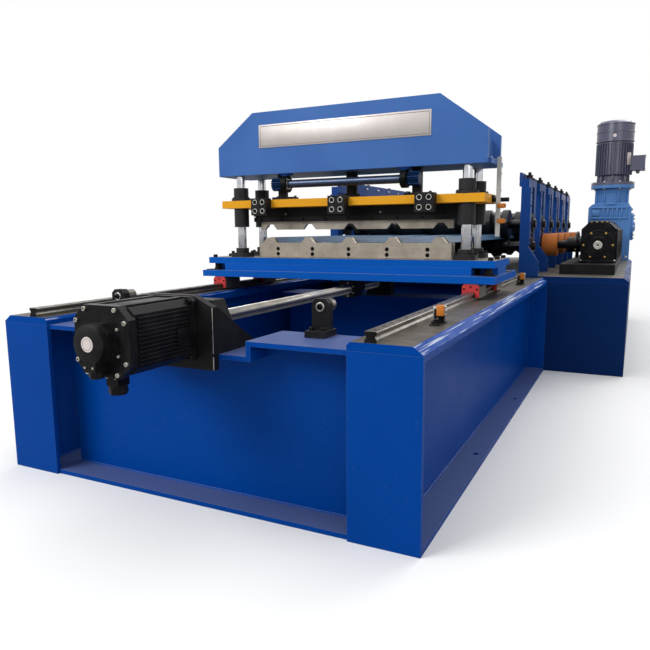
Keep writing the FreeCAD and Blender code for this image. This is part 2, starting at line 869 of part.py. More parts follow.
def slide_bushings():
    bushings = []
    bore = "(post_radius + journal_fit)"
    low = "(slide_level - bush_below)"
    high = f"({SLIDE_TOP} + bush_above)"
    profile = [(low, bore), (high, bore), (high, "bush_radius"),
               (f"{SLIDE_TOP} + bush_flange", "bush_radius"),
               (f"{SLIDE_TOP} + bush_flange", "bush_flange_radius"),
               (SLIDE_TOP, "bush_flange_radius"), (SLIDE_TOP, "bush_radius"), (low, "bush_radius")]
    for side in (-1, 1):
        for name, at in (("front", "post_front_at"), ("rear", "post_rear_at")):
            bushings.append(turned(f"bushing_{name}_{side}", "Z", profile,
                                   (f"{side}*post_spacing/2", at)))
    node("slide_bushings", group("slide_bushings", *bushings))


def clamp_blocks():
    clamps = []
    low = "(slide_level - clamp_below)"
    middle = f"({low} + clamp_height/2)"
    front = "(slide_front_at - clamp_depth)"
    for i in range(-1, 2):
        x = f"{i}*clamp_pitch"
        body = block(f"clamp_{i}", (f"{x} - clamp_width/2", f"{x} + clamp_width/2"),
                     (front, "slide_front_at"), (low, f"{low} + clamp_height"))
        sinks = [
            rod(f"clamp_sink_{i}_{a}_{b}", "Y", (f"{x} + {a}*clamp_bolt_step/2",
                f"{middle} + {b}*clamp_bolt_step/2"), "clamp_bolt_radius",
                (f"{front} - 1", f"{front} + clamp_bolt_deep"))
            for a in (-1, 1) for b in (-1, 1)
        ]
        clamps.append(cut(f"clamp_block_{i}", body, *sinks))
    node("clamp_blocks", group("clamp_blocks", *clamps))


def upper_blade():
    lip = ribbed("punch_level", "blade_half")
    outline = lip + [("blade_half", "punch_top"), ("-blade_half", "punch_top")]
    node("upper_blade", prism("upper_blade", "XZ", outline,
                              (PUNCH_FRONT, f"{PUNCH_FRONT} + punch_thickness")))
    low = "punch_top"
    step = f"({low} + holder_lip)"
    inner = "holder_front_at + holder_step"
    back = "(holder_front_at + holder_depth)"
    section = [("holder_front_at", low), (back, low), (back, "slide_level"),
               (inner, "slide_level"), (inner, step),
               ("holder_front_at", step)]
    node("blade_holder", prism("blade_holder", "YZ", section, mirrored_pair("holder_half")))


def piston_rod():
    middle = "(top_front_at + top_depth/2)"
    profile = [(SLIDE_TOP, "0"), (SLIDE_TOP, "rod_flange_radius"),
               (f"{SLIDE_TOP} + rod_flange", "rod_flange_radius"),
               (f"{SLIDE_TOP} + rod_flange", "rod_radius"),
               ("beam_level + foot_plate + rod_reach", "rod_radius"),
               ("beam_level + foot_plate + rod_reach", "0")]
    node("piston_rod", turned("piston_rod", "Z", profile, ("0", middle)))


# Top beam

def top_beam():
    half = "(top_width/2)"
    top = "(beam_level + top_height)"
    side = "(beam_level + top_side)"
    outline = [(f"-{half}", "beam_level"), (half, "beam_level"), (half, side),
               ("top_flat/2", top), ("-top_flat/2", top), (f"-{half}", side)]
    rear = "(top_front_at + top_depth)"
    front_wall = prism("top_front_wall", "XZ", outline, ("top_front_at", "top_front_at + top_plate"))
    rear_wall = prism("top_rear_wall", "XZ", outline, (f"{rear} - top_plate", rear))
    foot_half = f"({half} + foot_ledge)"
    inside = ("top_front_at + top_plate", f"{rear} - top_plate")
    foot_outline = [(f"-{foot_half}", inside[0]), (foot_half, inside[0]),
                    (foot_half, inside[1]), (f"-{foot_half}", inside[1])]
    rack_front = "(sync_at + module*pinion_teeth/2 - module*2)"
    rack_rear = "(sync_at + module*pinion_teeth/2 + rack_depth)"
    windows = []
    for sign in (-1, 1):
        x = f"{sign}*(sync_half - pinion_width/2)"
        reach = "(rack_width/2 + rack_window)"
        windows.append([(f"{x} - {reach}", f"{rack_front} - rack_window"),
                        (f"{x} + {reach}", f"{rack_front} - rack_window"),
                        (f"{x} + {reach}", f"{rack_rear} + rack_window"),
                        (f"{x} - {reach}", f"{rack_rear} + rack_window")])
    foot = prism("top_foot", "XY", foot_outline, ("beam_level", "beam_level + foot_plate"),
                 windows=windows, holes=[(("0", "top_front_at + top_depth/2"), "rod_hole_radius")])
    ribs = [
        block(f"top_rib_{sign}", (f"{sign}*rib_place - rib_plate/2", f"{sign}*rib_place + rib_plate/2"),
              inside, ("beam_level + foot_plate", f"{side} + top_side/2"))
        for sign in (-1, 1)
    ]
    boxes = [
        block(f"top_box_{sign}",
              (f"{sign}*({half} - top_box_inset) - top_box_half",
               f"{sign}*({half} - top_box_inset) + top_box_half"), inside,
              ("beam_level + foot_plate", f"{side} - top_box_drop"))
        for sign in (-1, 1)
    ]
    node("top_beam", joined("top_beam", front_wall, rear_wall, foot, *ribs, *boxes))
    middle = "(top_front_at + top_depth/2)"
    low = "(beam_level + foot_plate)"
    bore_top = f"({low} + bore_reach)"
    profile = [(low, "rod_hole_radius"), (bore_top, "rod_hole_radius"), (bore_top, "0"),
               (f"{low} + cylinder_height", "0"), (f"{low} + cylinder_height", "cylinder_radius"),
               (low, "cylinder_radius")]
    node("press_cylinder", turned("press_cylinder", "Z", profile, ("0", middle)))


def shaft_hangers():
    hangers = []
    for sign in (-1, 1):
        inner = "(sync_half - pinion_width - hanger_gap - hanger_width)"
        outer = "(sync_half - pinion_width - hanger_gap)"
        span = (inner, outer) if sign > 0 else (f"-{outer}", f"-{inner}")
        disc = rod(f"hanger_disc_{sign}", "X", ("sync_at", "sync_level"), "hanger_radius", span)
        arm = block(f"hanger_arm_{sign}", span,
                    ("sync_at - hanger_arm/2", "sync_at + hanger_arm/2"),
                    ("sync_level", "beam_level"))
        pad = block(f"hanger_pad_{sign}", (f"{span[0]} - hanger_pad_ledge", f"{span[1]} + hanger_pad_ledge"),
                    ("sync_at - hanger_arm/2", "sync_at + hanger_arm/2"),
                    ("beam_level - hanger_pad", "beam_level"))
        bore = rod(f"hanger_bore_{sign}", "X", ("sync_at", "sync_level"),
                   "sync_radius + journal_fit", (f"{span[0]} - 1", f"{span[1]} + 1"))
        hangers.append(cut(f"hanger_{sign}", joined(f"hanger_body_{sign}", disc, arm, pad), bore))
    node("shaft_hangers", group("shaft_hangers", *hangers))


# Rack and pinion: 20 degree teeth, the flanks thinned by the backlash

PRESSURE = math.radians(20)


def involute(angle):
    return math.tan(angle) - angle


def pinion_outline(module, teeth, backlash):
    """Points round a pinion with a tooth gap on +Y, where the rack stands."""
    pitch = module * teeth / 2
    base = pitch * math.cos(PRESSURE)
    tip = pitch + module
    root = pitch - 1.25 * module
    half_tooth = math.pi / (2 * teeth) - backlash / (4 * pitch)

    def half_width(radius):
        return half_tooth + involute(PRESSURE) - involute(math.acos(base / radius))

    steps = 4
    radii = [base + (tip - base) * (i / steps) for i in range(steps + 1)]
    flank = [(root, half_width(base))] + [(r, half_width(r)) for r in radii]
    points = []
    for tooth in range(teeth):
        middle = math.pi / 2 + (tooth + 0.5) * 2 * math.pi / teeth
        around = [(r, middle - w) for r, w in flank] + [(r, middle + w) for r, w in reversed(flank)]
        points += [Vector(0, r * math.cos(a), r * math.sin(a)) for r, a in around]
    return points


def sync_shaft():
    """The shaft with a pinion at each end, so that both ends of the slide move together."""
    half, width = number("sync_half"), number("pinion_width")
    outline = pinion_outline(number("module"), int(number("pinion_teeth")), number("backlash"))
    # The outline's first coordinate is along Y and the second along Z, with the rack on +Y.
    turned_outline = [Vector(0, p.z, -p.y) for p in outline]
    face = Part.Face(Part.makePolygon(turned_outline + turned_outline[:1]))
    left = face.extrude(Vector(width, 0, 0))
    left.translate(Vector(-half, 0, 0))
    right = face.extrude(Vector(width, 0, 0))
    right.translate(Vector(half - width, 0, 0))
    shaft = Part.makeCylinder(number("sync_radius"), 2 * half, Vector(-half, 0, 0), Vector(1, 0, 0))
    feature = doc.addObject("Part::Feature", "sync_shaft")
    feature.Shape = shaft.fuse([left, right])
    feature.Placement = Placement(Vector(0, number("sync_at"), number("sync_level")), Rotation())
    place(feature, "0", "sync_at", "sync_level")
    node("sync_shaft", feature)


def rack_profile():
    """The rack's side view: teeth towards -Y, one of them level with the pinion's axis."""
    module, backlash = number("module"), number("backlash")
    pitch_line = number("sync_at + module*pinion_teeth/2")
    axis = number("sync_level")
    low, high = number(SLIDE_TOP), number("rack_top")
    back = pitch_line + number("rack_depth")
    pitch = math.pi * module
    tip, root = pitch_line - 0.9 * module, pitch_line + 1.25 * module
    half_pitch = pitch / 4 - backlash / 4
    half_tip = half_pitch - 0.9 * module * math.tan(PRESSURE)
    half_root = half_pitch + 1.25 * module * math.tan(PRESSURE)
    reach = number("module*pinion_teeth/2")
    first = math.ceil((axis - reach - axis) / pitch)
    last = math.floor((high - axis - half_root) / pitch)
    points = [Vector(0, back, low), Vector(0, root, low)]
    for i in range(first, last + 1):
        middle = axis + i * pitch
        for y, z in ((root, -half_root), (tip, -half_tip), (tip, half_tip), (root, half_root)):
            points.append(Vector(0, y, middle + z))
    points += [Vector(0, root, high), Vector(0, back, high)]
    return points


def sync_racks():
    points = rack_profile()
    face = Part.Face(Part.makePolygon(points + points[:1]))
    width = number("rack_width")
    racks = []
    for sign in (-1, 1):
        x = sign * number("sync_half - pinion_width/2")
        bar = face.extrude(Vector(width, 0, 0))
        bar.translate(Vector(x - width / 2, 0, 0))
        foot_width = number("rack_foot_width")
        depth = number("rack_foot_depth")
        front = number("sync_at + module*pinion_teeth/2 + 1.25*module")
        foot = Part.makeBox(foot_width, depth, number("rack_foot"),
                            Vector(x - foot_width / 2, front, number(SLIDE_TOP)))
        racks.append(bar.fuse(foot).removeSplitter())
    feature = doc.addObject("Part::Feature", "sync_racks")
    feature.Shape = Part.makeCompound(racks)
    node("sync_racks", feature)


def switch_bar():
    half = "switch_bar/2"
    near = "(top_width/2 + foot_ledge)"
    far = f"({near} + switch_bar)"
    bar = block("switch_post", (near, far),
                (f"switch_bar_at - {half}", f"switch_bar_at + {half}"),
                ("switch_bar_low", "switch_bar_top"))
    switches = [
        block(f"switch_{name}", (far, f"{far} + switch_body"),
              (f"switch_bar_at - {half}", f"switch_bar_at + {half}"),
              (f"{level} - {half}", f"{level} + {half}"))
        for name, level in (("low", "switch_low"), ("high", "switch_high"))
    ]
    node("switch_bar", joined("switch_bar", bar, *switches))


# Mill base

def mill_base():
    rear = "(table_rear + base_length)"
    under = "base_level - base_deck"
    across = ("-base_left", "base_right")
    walls = [
        block("base_front_wall", across, ("table_rear", "table_rear + base_wall"), ("0", under)),
        block("base_rear_wall", across, (f"{rear} - base_wall", rear), ("0", under)),
        block("base_left_wall", ("-base_left", "-base_left + base_wall"),
              ("table_rear", rear), ("0", under)),
        block("base_right_wall", ("base_right - base_wall", "base_right"),
              ("table_rear", rear), ("0", under)),
        block("base_middle_wall", ("stand_inner", "stand_inner + base_wall"),
              ("table_rear", rear), ("0", under)),
    ]
    node("mill_base", joined("mill_base", *walls))
    outline = [("-base_left", under), ("base_right", under),
               ("base_right", "base_level - deck_chamfer_high"),
               ("base_right - deck_chamfer_wide", "base_level"),
               ("-base_left + deck_chamfer_wide", "base_level"),
               ("-base_left", "base_level - deck_chamfer_high")]
    node("mill_deck", prism("mill_deck", "XZ", outline, ("table_rear", rear)))


def passes():
    return range(int(number("pass_count")))


def first_driven():
    return int(number("first_driven_pass")) - 1


def stand_trim(name, side, at):
    """The guide strip on a stand's front post, and the gusset that spreads its foot."""
    face = "(stand_inner + stand_plate)"
    front = f"({at} - stand_length/2)"
    strip_x = (face, f"{face} + guide_depth") if side > 0 else (f"-{face} - guide_depth", f"-{face}")
    strip = block(f"stand_guide_{name}", strip_x, (front, f"{front} + guide_width"),
                  ("stand_gusset_high", "guide_top"))
    points = [(face, "base_level"), (f"{face} + stand_gusset", "base_level"),
              (f"{face} + stand_gusset", "stand_gusset_low"), (face, "stand_gusset_high")]
    gusset = prism(f"stand_gusset_{name}", "XZ", [(f"{side}*({x})", z) for x, z in points],
                   (front, f"{front} + stand_gusset_plate"))
    return strip, gusset


def mill_stands():
    stands, chocks, jacks = [], [], []
    half = "(stand_length/2)"
    outline = [(f"-{half}", "base_level"), (half, "base_level"), (half, "stand_level"),
               (f"-{half}", "stand_level")]
    reach = "(window_width/2)"
    window = [(f"-{reach}", "window_low"), (reach, "window_low"), (reach, "window_top"),
              (f"-{reach}", "window_top")]
    chock = "(window_width/2 - chock_fit)"
    for i in passes():
        at = pass_at(i)
        for side in (-1, 1):
            span = (("stand_inner", "stand_inner + stand_plate") if side > 0 else
                    ("-stand_inner - stand_plate", "-stand_inner"))
            name = f"{i + 1}_{'right' if side > 0 else 'left'}"
            frame = prism(f"stand_{name}", "YZ", outline, span, at=(at, "0"), windows=[window])
            screw_hole = rod(f"jack_hole_{name}", "Z",
                             (f"{side}*(stand_inner + stand_plate/2)", at),
                             "jack_radius + journal_fit", ("window_top - 1", "stand_level + 1"))
            bored = cut(f"stand_bored_{name}", frame, screw_hole)
            stands.append(joined(f"mill_stand_{name}", bored, *stand_trim(name, side, at)))
            lipped = (f"{span[0]} - chock_lip", f"{span[1]} + chock_lip")
            for roll, low in (("lower", "window_low"), ("upper", "upper_level - chock_half_height")):
                high = f"{roll}_level + chock_half_height"
                square = [(f"-{chock}", low), (chock, low), (chock, high), (f"-{chock}", high)]
                chocks.append(prism(f"{roll}_chock_{name}", "YZ", square, lipped, at=(at, "0"),
                                    holes=[(("0", f"{roll}_level"), "shaft_radius + journal_fit")]))
            x = f"{side}*(stand_inner + stand_plate/2)"
            profile = [("upper_level + chock_half_height", "0"),
                       ("upper_level + chock_half_height", "jack_radius"),
                       ("stand_level", "jack_radius"), ("stand_level", "jack_head_radius"),
                       ("stand_level + jack_head", "jack_head_radius"),
                       ("stand_level + jack_head", "0")]
            jacks.append(turned(f"jack_{name}", "Z", profile, (x, at)))
    node("mill_stands", group("mill_stands", *stands))
    node("bearing_chocks", group("bearing_chocks", *chocks))
    node("adjusting_screws", group("adjusting_screws", *jacks))
    along = (f"{pass_at(0)} - stand_length/2", f"{pass_at(len(passes()) - 1)} + stand_length/2")
    high = ("stand_level - tie_drop", "stand_level - tie_drop + tie_height")
    ties = [
        block("tie_right", ("stand_inner - tie_width", "stand_inner"), along, high),
        block("tie_left", ("-stand_inner", "-stand_inner + tie_width"), along, high),
    ]
    node("stand_ties", group("stand_ties", *ties))


def roll_profile(valley, ribs, tail, head, drum):
    """Half section of a roll shaft: the ribbed rolls between plain shaft ends."""
    shaft = "shaft_radius"
    low = f"({valley})"
    high = f"({ribs})"
    points = [(f"-{tail}", "0"), (f"-{tail}", shaft), ("-roll_half", shaft), ("-roll_half", low)]
    for i in range(-2, 3):
        middle = f"{i}*rib_pitch"
        points += [(f"{middle} - rib_foot/2", low), (f"{middle} - rib_top/2", high),
                   (f"{middle} + rib_top/2", high), (f"{middle} + rib_foot/2", low)]
    points += [("roll_half", low), ("roll_half", shaft)]
    if drum:
        points += [("coupling_near", shaft), ("coupling_near", "coupling_radius"),
                   ("coupling_far", "coupling_radius"), ("coupling_far", shaft)]
    return points + [(head, shaft), (head, "0")]


def roll_shafts():
    gap = "(sheet_thickness/2 + sheet_gap)"
    lower_valley = f"pass_level - lower_level - {gap}"
    upper_valley = f"upper_level - pass_level - {gap}"
    for i in passes():
        driven = i >= first_driven()
        low = roll_profile(lower_valley, f"{lower_valley} + rib_height", "shaft_tail",
                           "shaft_drive_end" if driven else "shaft_tail", driven)
        high = roll_profile(upper_valley, f"{upper_valley} - rib_height", "shaft_tail",
                            "shaft_tail", False)
        node(f"lower_rolls_{i + 1}", turned(f"lower_rolls_{i + 1}", "X", low,
                                            (pass_at(i), "lower_level")))
        node(f"upper_rolls_{i + 1}", turned(f"upper_rolls_{i + 1}", "X", high,
                                            (pass_at(i), "upper_level")))


def formed_sheet():
    top = "(pass_level + sheet_thickness/2)"
    outline = ribbed(top, "sheet_half", "sheet_thickness")
    node("formed_sheet", prism("formed_sheet", "XZ", outline,
                               (DIE_FRONT, "table_rear + base_length - sheet_tail")))


# Drive

def gearbox_case(name, at):
    left, right = "(line_x - gearbox_width/2)", "(line_x + gearbox_width/2)"
    low, high, corner = "gearbox_bottom", "gearbox_top", "gearbox_corner"
    outline = [(left, low), (right, low), (right, f"{high} - {corner}"),
               (f"{right} - {corner}", high), (f"{left} + {corner}", high),
               (left, f"{high} - {corner}")]
    front, rear = f"({at} - gearbox_length/2)", f"({at} + gearbox_length/2)"
    case = prism(f"{name}_case", "XZ", outline, (front, rear))
    neck = rod(f"{name}_neck", "X", (at, "lower_level"), "neck_radius",
               (f"{left} - neck_length", left))
    covers = [
        rod(f"{name}_cover_{end}", "Y", ("line_x", "lower_level"), "cover_radius", span)
        for end, span in (("front", (f"{front} - cover_depth", front)),
                          ("rear", (rear, f"{rear} + cover_depth")))
    ]
    return joined(f"{name}_body", case, neck, *covers)


def gearboxes():
    boxes = []
    last = int(number("reducer_pass")) - 1
    for i in range(first_driven(), last):
        at = pass_at(i)
        name = f"gearbox_{i + 1}"
        line_bore = rod(f"{name}_line_bore", "Y", ("line_x", "lower_level"),
                        "line_radius + journal_fit",
                        (f"{at} - gearbox_length", f"{at} + gearbox_length"))
        roll_bore = rod(f"{name}_roll_bore", "X", (at, "lower_level"), "shaft_radius + journal_fit",
                        ("coupling_far", "shaft_drive_end + bore_clear"))
        boxes.append(cut(name, gearbox_case(name, at), line_bore, roll_bore))
    node("gearboxes", group("gearboxes", *boxes))
    rear = f"({pass_at(last - 1)} + gearbox_length/2 + pedestal_tail)"
    node("gearbox_pedestal", block("gearbox_pedestal", ("pedestal_left", "pedestal_right"),
                                   ("pedestal_front_at", rear), ("base_level", "gearbox_bottom")))


def line_shaft():
    start = f"({pass_at(first_driven())} - gearbox_length/2 - cover_depth - line_nose)"
    end = f"({pass_at(len(passes()) - 1)} + gearbox_length/2 + cover_depth + line_nose)"
    points = [(start, "0"), (start, "line_radius")]
    for i in range(first_driven(), len(passes()) - 1):
        middle = f"({pass_at(i)} + pass_pitch/2)"
        points += [(f"{middle} - line_sleeve_half", "line_radius"),
                   (f"{middle} - line_sleeve_half", "line_sleeve_radius"),
                   (f"{middle} + line_sleeve_half", "line_sleeve_radius"),
                   (f"{middle} + line_sleeve_half", "line_radius")]
    points += [(end, "line_radius"), (end, "0")]
    node("line_shaft", turned("line_shaft", "Y", points, ("line_x", "lower_level")))


def main_reducer():
    at = pass_at(int(number("reducer_pass")) - 1)
    left, right, high, corner = "reducer_left", "reducer_right", "reducer_top", "reducer_corner"
    outline = [(left, "base_level"), (right, "base_level"), (right, f"{high} - {corner}"),
               (f"{right} - {corner}", high), (f"{left} + {corner}", high),
               (left, f"{high} - {corner}")]
    half = "(reducer_length/2)"
    case = prism("reducer_case", "XZ", outline, (f"{at} - {half}", f"{at} + {half}"))
    ledge = f"({half} + reducer_foot_ledge)"
    foot = block("reducer_foot_plate", (left, right), (f"{at} - {ledge}", f"{at} + {ledge}"),
                 ("base_level", "base_level + reducer_foot"))
    boss = rod("reducer_boss", "X", (at, "boss_level"), "boss_radius",
               (right, f"{right} + boss_depth"))
    turret = turned("reducer_turret", "Z", [
        ("reducer_top - turret_root", "0"), ("reducer_top - turret_root", "turret_radius"),
        ("turret_top - turret_flare", "turret_radius"), ("turret_top", "motor_flange_radius - turret_lip"),
        ("turret_top", "motor_flange_radius"), ("turret_top + motor_flange", "motor_flange_radius"),
        ("turret_top + motor_flange", "0")], (MOTOR_X, at))
    line_bore = rod("reducer_line_bore", "Y", ("line_x", "lower_level"),
                    "line_radius + journal_fit", (f"{at} - reducer_length", f"{at} + reducer_length"))
    roll_bore = rod("reducer_roll_bore", "X", (at, "lower_level"), "shaft_radius + journal_fit",
                    ("coupling_far", "shaft_drive_end + bore_clear"))
    node("main_reducer", cut("main_reducer", joined("reducer_body", case, foot, boss, turret),
                             line_bore, roll_bore))


def drive_motor():
    at = pass_at(int(number("reducer_pass")) - 1)
    low = "(turret_top + motor_flange)"
    high = f"({low} + motor_length)"
    top = f"({high} + fan_cover_height)"
    shoulder = f"({low} + motor_flange + motor_neck)"
    profile = [
        (low, "0"), (low, "motor_flange_radius"), (f"{low} + motor_flange", "motor_flange_radius"),
        (f"{low} + motor_flange", "motor_neck_radius"), (shoulder, "motor_neck_radius"),
        (f"{shoulder} + motor_shoulder", "motor_radius"), (high, "motor_radius"),
        (high, "fan_cover_radius"), (f"{top} - fan_cover_crown", "fan_cover_radius"),
        (top, "fan_cover_radius - fan_cover_chamfer"), (top, "0")]
    case = turned("motor_case", "Z", profile, (MOTOR_X, at))
    reach = "(motor_radius + motor_fin)"
    fins = doc.addObject("PartDesign::Body", "motor_fins")
    sketch = sketch_on(fins, "XY_Plane", "motor_fin_outline")
    root = "(motor_radius - motor_fin_root)"
    draw_loop(sketch, [(root, "-motor_fin_width/2"), (reach, "-motor_fin_width/2"),
                       (reach, "motor_fin_width/2"), (root, "motor_fin_width/2")])
    pad = fins.newObject("PartDesign::Pad", "motor_fin_pad")
    pad.Profile = sketch
    start = f"({shoulder} + motor_fin_gap)"
    bind(pad, "Length", f"{high} - {start} - motor_fin_gap")
    ring = fins.newObject("PartDesign::PolarPattern", "motor_fin_ring")
    ring.Originals = [pad]
    ring.Axis = (sketch, ["N_Axis"])
    ring.Angle = 360
    bind(ring, "Occurrences", "motor_fin_count")
    fins.Tip = ring
    place(fins, MOTOR_X, at, start)
    box = block("motor_terminal_box",
                (f"line_x + {reach} - terminal_root", f"line_x + {reach} + terminal_depth"),
                (f"{at} - terminal_width/2", f"{at} + terminal_width/2"),
                (f"{low} + motor_length/2 - terminal_height/2",
                 f"{low} + motor_length/2 + terminal_height/2"))
    node("drive_motor", joined("drive_motor", case, fins, box))


def build():
    side_beam("side_beam_left", -1)
    side_beam("side_beam_right", 1)
    front_cross_beam()
    node("rear_cross_beam", cross_beam("rear_cross_beam", "table_rear - beam_width/2 - cross_setback",
                                       "beam_height"))
    node("screw_cross_beam", cross_beam("screw_cross_beam", "screw_beam_at", "screw_beam_height"))
    rail_seats()
    linear_rails()
    travel_stops()
    servo_bracket()
    servo_motor()
    screw_bearings()
    deck_switches()
    ball_screw()
    carriage_plate()
    linear_blocks()
    carriage_spacers()
    bolster()
    lower_blades()
    guide_posts()
    ball_nut()
    top_beam()
    shaft_hangers()
    switch_bar()
    slide_plate()
    slide_bushings()
    clamp_blocks()
    upper_blade()
    piston_rod()
    sync_racks()
    sync_shaft()
    mill_base()
    mill_stands()
    roll_shafts()
    formed_sheet()
    gearboxes()
    line_shaft()
    main_reducer()
    drive_motor()


def check_and_write():
    doc.recompute()
    for thing in doc.Objects:
        if "Invalid" in thing.State or "Error" in thing.State:
            raise RuntimeError(f"{thing.Label} failed: {thing.State}")
    os.makedirs("parts", exist_ok=True)
    for thing in nodes:
        if thing.Shape.isNull() or not thing.Shape.isValid():
            raise RuntimeError(f"{thing.Label} has no valid shape")
    for thing in nodes:
        thing.Shape.exportStep(f"parts/{thing.Label}.step")
    print(len(nodes), "sub-parts written")


build()
check_and_write()
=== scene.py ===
import json
import math
from functools import partial
from itertools import product

import bmesh
import bpy
from mathutils import Matrix, Vector


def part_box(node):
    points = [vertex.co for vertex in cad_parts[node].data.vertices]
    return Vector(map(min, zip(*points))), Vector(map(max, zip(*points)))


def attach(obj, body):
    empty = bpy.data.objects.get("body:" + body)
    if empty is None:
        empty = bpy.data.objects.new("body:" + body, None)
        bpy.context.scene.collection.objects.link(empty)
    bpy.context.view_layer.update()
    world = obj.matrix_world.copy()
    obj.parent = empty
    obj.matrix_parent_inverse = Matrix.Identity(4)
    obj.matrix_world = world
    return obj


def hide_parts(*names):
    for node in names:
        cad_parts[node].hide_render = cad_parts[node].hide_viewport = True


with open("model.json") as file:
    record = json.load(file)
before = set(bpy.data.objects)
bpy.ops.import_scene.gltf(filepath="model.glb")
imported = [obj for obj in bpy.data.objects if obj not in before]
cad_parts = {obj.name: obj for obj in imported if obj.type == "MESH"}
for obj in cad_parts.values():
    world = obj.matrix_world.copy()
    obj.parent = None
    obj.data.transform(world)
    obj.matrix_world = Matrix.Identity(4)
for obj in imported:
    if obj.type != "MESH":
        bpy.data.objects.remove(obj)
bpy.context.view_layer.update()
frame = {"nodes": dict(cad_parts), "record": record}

# Pieces are drawn in millimetres, as in the part's source, and come to metres when they are done
MM = 0.001

# Camera: the photograph's place, heading, tilt and roll, in the part's own frame
PHOTO_PIXELS = 650
FOCAL_PIXELS = 620.5
SENSOR = 36
CAMERA_PLACE = Vector((1.1639, -1.4933, 0.8036))
HEADING = math.radians(26.40)
TILT = math.radians(8.62)
ROLL = 0.0077


def link_object(name, data):
    made = bpy.data.objects.new(name, data)
    bpy.context.scene.collection.objects.link(made)
    return made


def make_camera():
    forward = Vector((-math.sin(HEADING) * math.cos(TILT), math.cos(HEADING) * math.cos(TILT),
                      -math.sin(TILT)))
    level = Vector((math.cos(HEADING), math.sin(HEADING), 0))
    down = forward.cross(level)
    right = level * math.cos(ROLL) + down * math.sin(ROLL)
    up = level * math.sin(ROLL) - down * math.cos(ROLL)
    data = bpy.data.cameras.new("camera")
    data.sensor_width = SENSOR
    data.lens = SENSOR * FOCAL_PIXELS / PHOTO_PIXELS
    data.clip_start, data.clip_end = 0.05, 200
    camera = link_object("camera", data)
    turn = Matrix((right, up, -forward)).transposed().to_4x4()
    camera.matrix_world = Matrix.Translation(CAMERA_PLACE) @ turn
    bpy.context.scene.camera = camera


# Finishes

def linear(colour):
    """An sRGB hex colour as linear values."""
    parts = [int(colour[i:i + 2], 16) / 255 for i in (1, 3, 5)]
    return [p / 12.92 if p <= 0.04045 else ((p + 0.055) / 1.055) ** 2.4 for p in parts] + [1]


def add_node(tree, kind, inputs=None, **settings):
    """Adds one node. An input is a value, an sRGB hex colour, another node's output, or a node,
    which stands for the first of its outputs in use."""
    made = tree.nodes.new("ShaderNode" + kind)
    for name, value in settings.items():
        setattr(made, name, value)
    for name, value in (inputs or {}).items():
        if isinstance(value, bpy.types.Node):
            value = next(output for output in value.outputs if output.enabled)
        if isinstance(value, bpy.types.NodeSocket):
            tree.links.new(value, made.inputs[name])
        else:
            made.inputs[name].default_value = linear(value) if isinstance(value, str) else value
    return made


def finish(name, recipe, *settings):
    """Makes a material whose surface a recipe builds on the object's own coordinates."""
    material = bpy.data.materials.new(name)
    material.use_nodes = True
    material.node_tree.nodes.clear()
    add = partial(add_node, material.node_tree)
    add("OutputMaterial", {"Surface": recipe(add, add("TexCoord").outputs["Object"], *settings)})
    return material


# Height of the ball screw's axis, which its finish needs too
SCREW_LEVEL = 538

# A colour Mix node's inputs, which share their names with its other types
FACTOR, FIRST, SECOND = 0, 6, 7

# The white studio would veil dark paint, so dielectric finishes shine at part of the full level
PAINT_SHINE = 0.06
BLACK_SHINE = 0.12
DECK_SHINE = 0.03

# How much longer a tool line is than wide
LAY_LENGTH = 70


def per(size):
    """The scale of a pattern whose features are that many millimetres across."""
    return 1 / (size * MM)


def edge_wear(add, rounded, facing, first, full, most):
    """How worn an edge is: more where the rounded normal turns further from the face's own."""
    turn = add("VectorMath", {0: rounded, 1: facing.outputs["Normal"]}, operation="DOT_PRODUCT")
    return add("MapRange", {"Value": turn, "From Min": first, "From Max": full, "To Max": most})


def enamel(add, place, colour, shade, roughness=0.3, rubbed=0.35, dust=0.1, settled=0.5,
           shine=PAINT_SHINE):
    """Gloss enamel sprayed on welded plate: one strong colour that drifts a little in tone, an
    orange-peel ripple in its shine, specks of dust, a grey film settled on level faces, and
    edges rubbed thin to a pale line."""
    drift = add("TexNoise", {"Vector": place, "Scale": per(350), "Detail": 4})
    tone = add("Mix", {FACTOR: drift, FIRST: colour, SECOND: shade}, data_type="RGBA")
    specks = add("TexNoise", {"Vector": place, "Scale": per(11), "Detail": 3, "Roughness": 0.7})
    dusty = add("MapRange", {"Value": specks, "From Min": 0.6, "From Max": 0.8, "To Max": dust})
    tone = add("Mix", {FACTOR: dusty, FIRST: tone, SECOND: "#7d8796"}, data_type="RGBA")
    facing = add("NewGeometry")
    upright = add("SeparateXYZ", {"Vector": facing.outputs["Normal"]}).outputs["Z"]
    level = add("MapRange", {"Value": upright, "From Min": 0.85, "From Max": 0.98,
                             "To Max": settled})
    tone = add("Mix", {FACTOR: level, FIRST: tone, SECOND: "#6c7180"}, data_type="RGBA")
    rounded = add("Bevel", {"Radius": 1.6 * MM}, samples=4)
    edge = edge_wear(add, rounded, facing, 0.985, 0.9, rubbed)
    chips = add("TexNoise", {"Vector": place, "Scale": per(30), "Detail": 4})
    worn = add("Math", {0: edge, 1: chips}, operation="MULTIPLY")
    tone = add("Mix", {FACTOR: worn, FIRST: tone, SECOND: "#b9c6dc"}, data_type="RGBA")
    gloss = add("MapRange", {"Value": drift, "From Min": 0.3, "From Max": 0.7,
                             "To Min": roughness - 0.05, "To Max": roughness + 0.08})
    # Real peel is about 1 mm across, drawn at 5 mm so that it shows
    peel = add("TexNoise", {"Vector": place, "Scale": per(5), "Detail": 2})
    skin = add("Bump", {"Height": peel, "Distance": 0.12 * MM, "Strength": 0.4, "Normal": rounded})
    return add("BsdfPrincipled", {"Base Color": tone, "Roughness": gloss,
                                  "Specular IOR Level": shine, "Normal": skin})


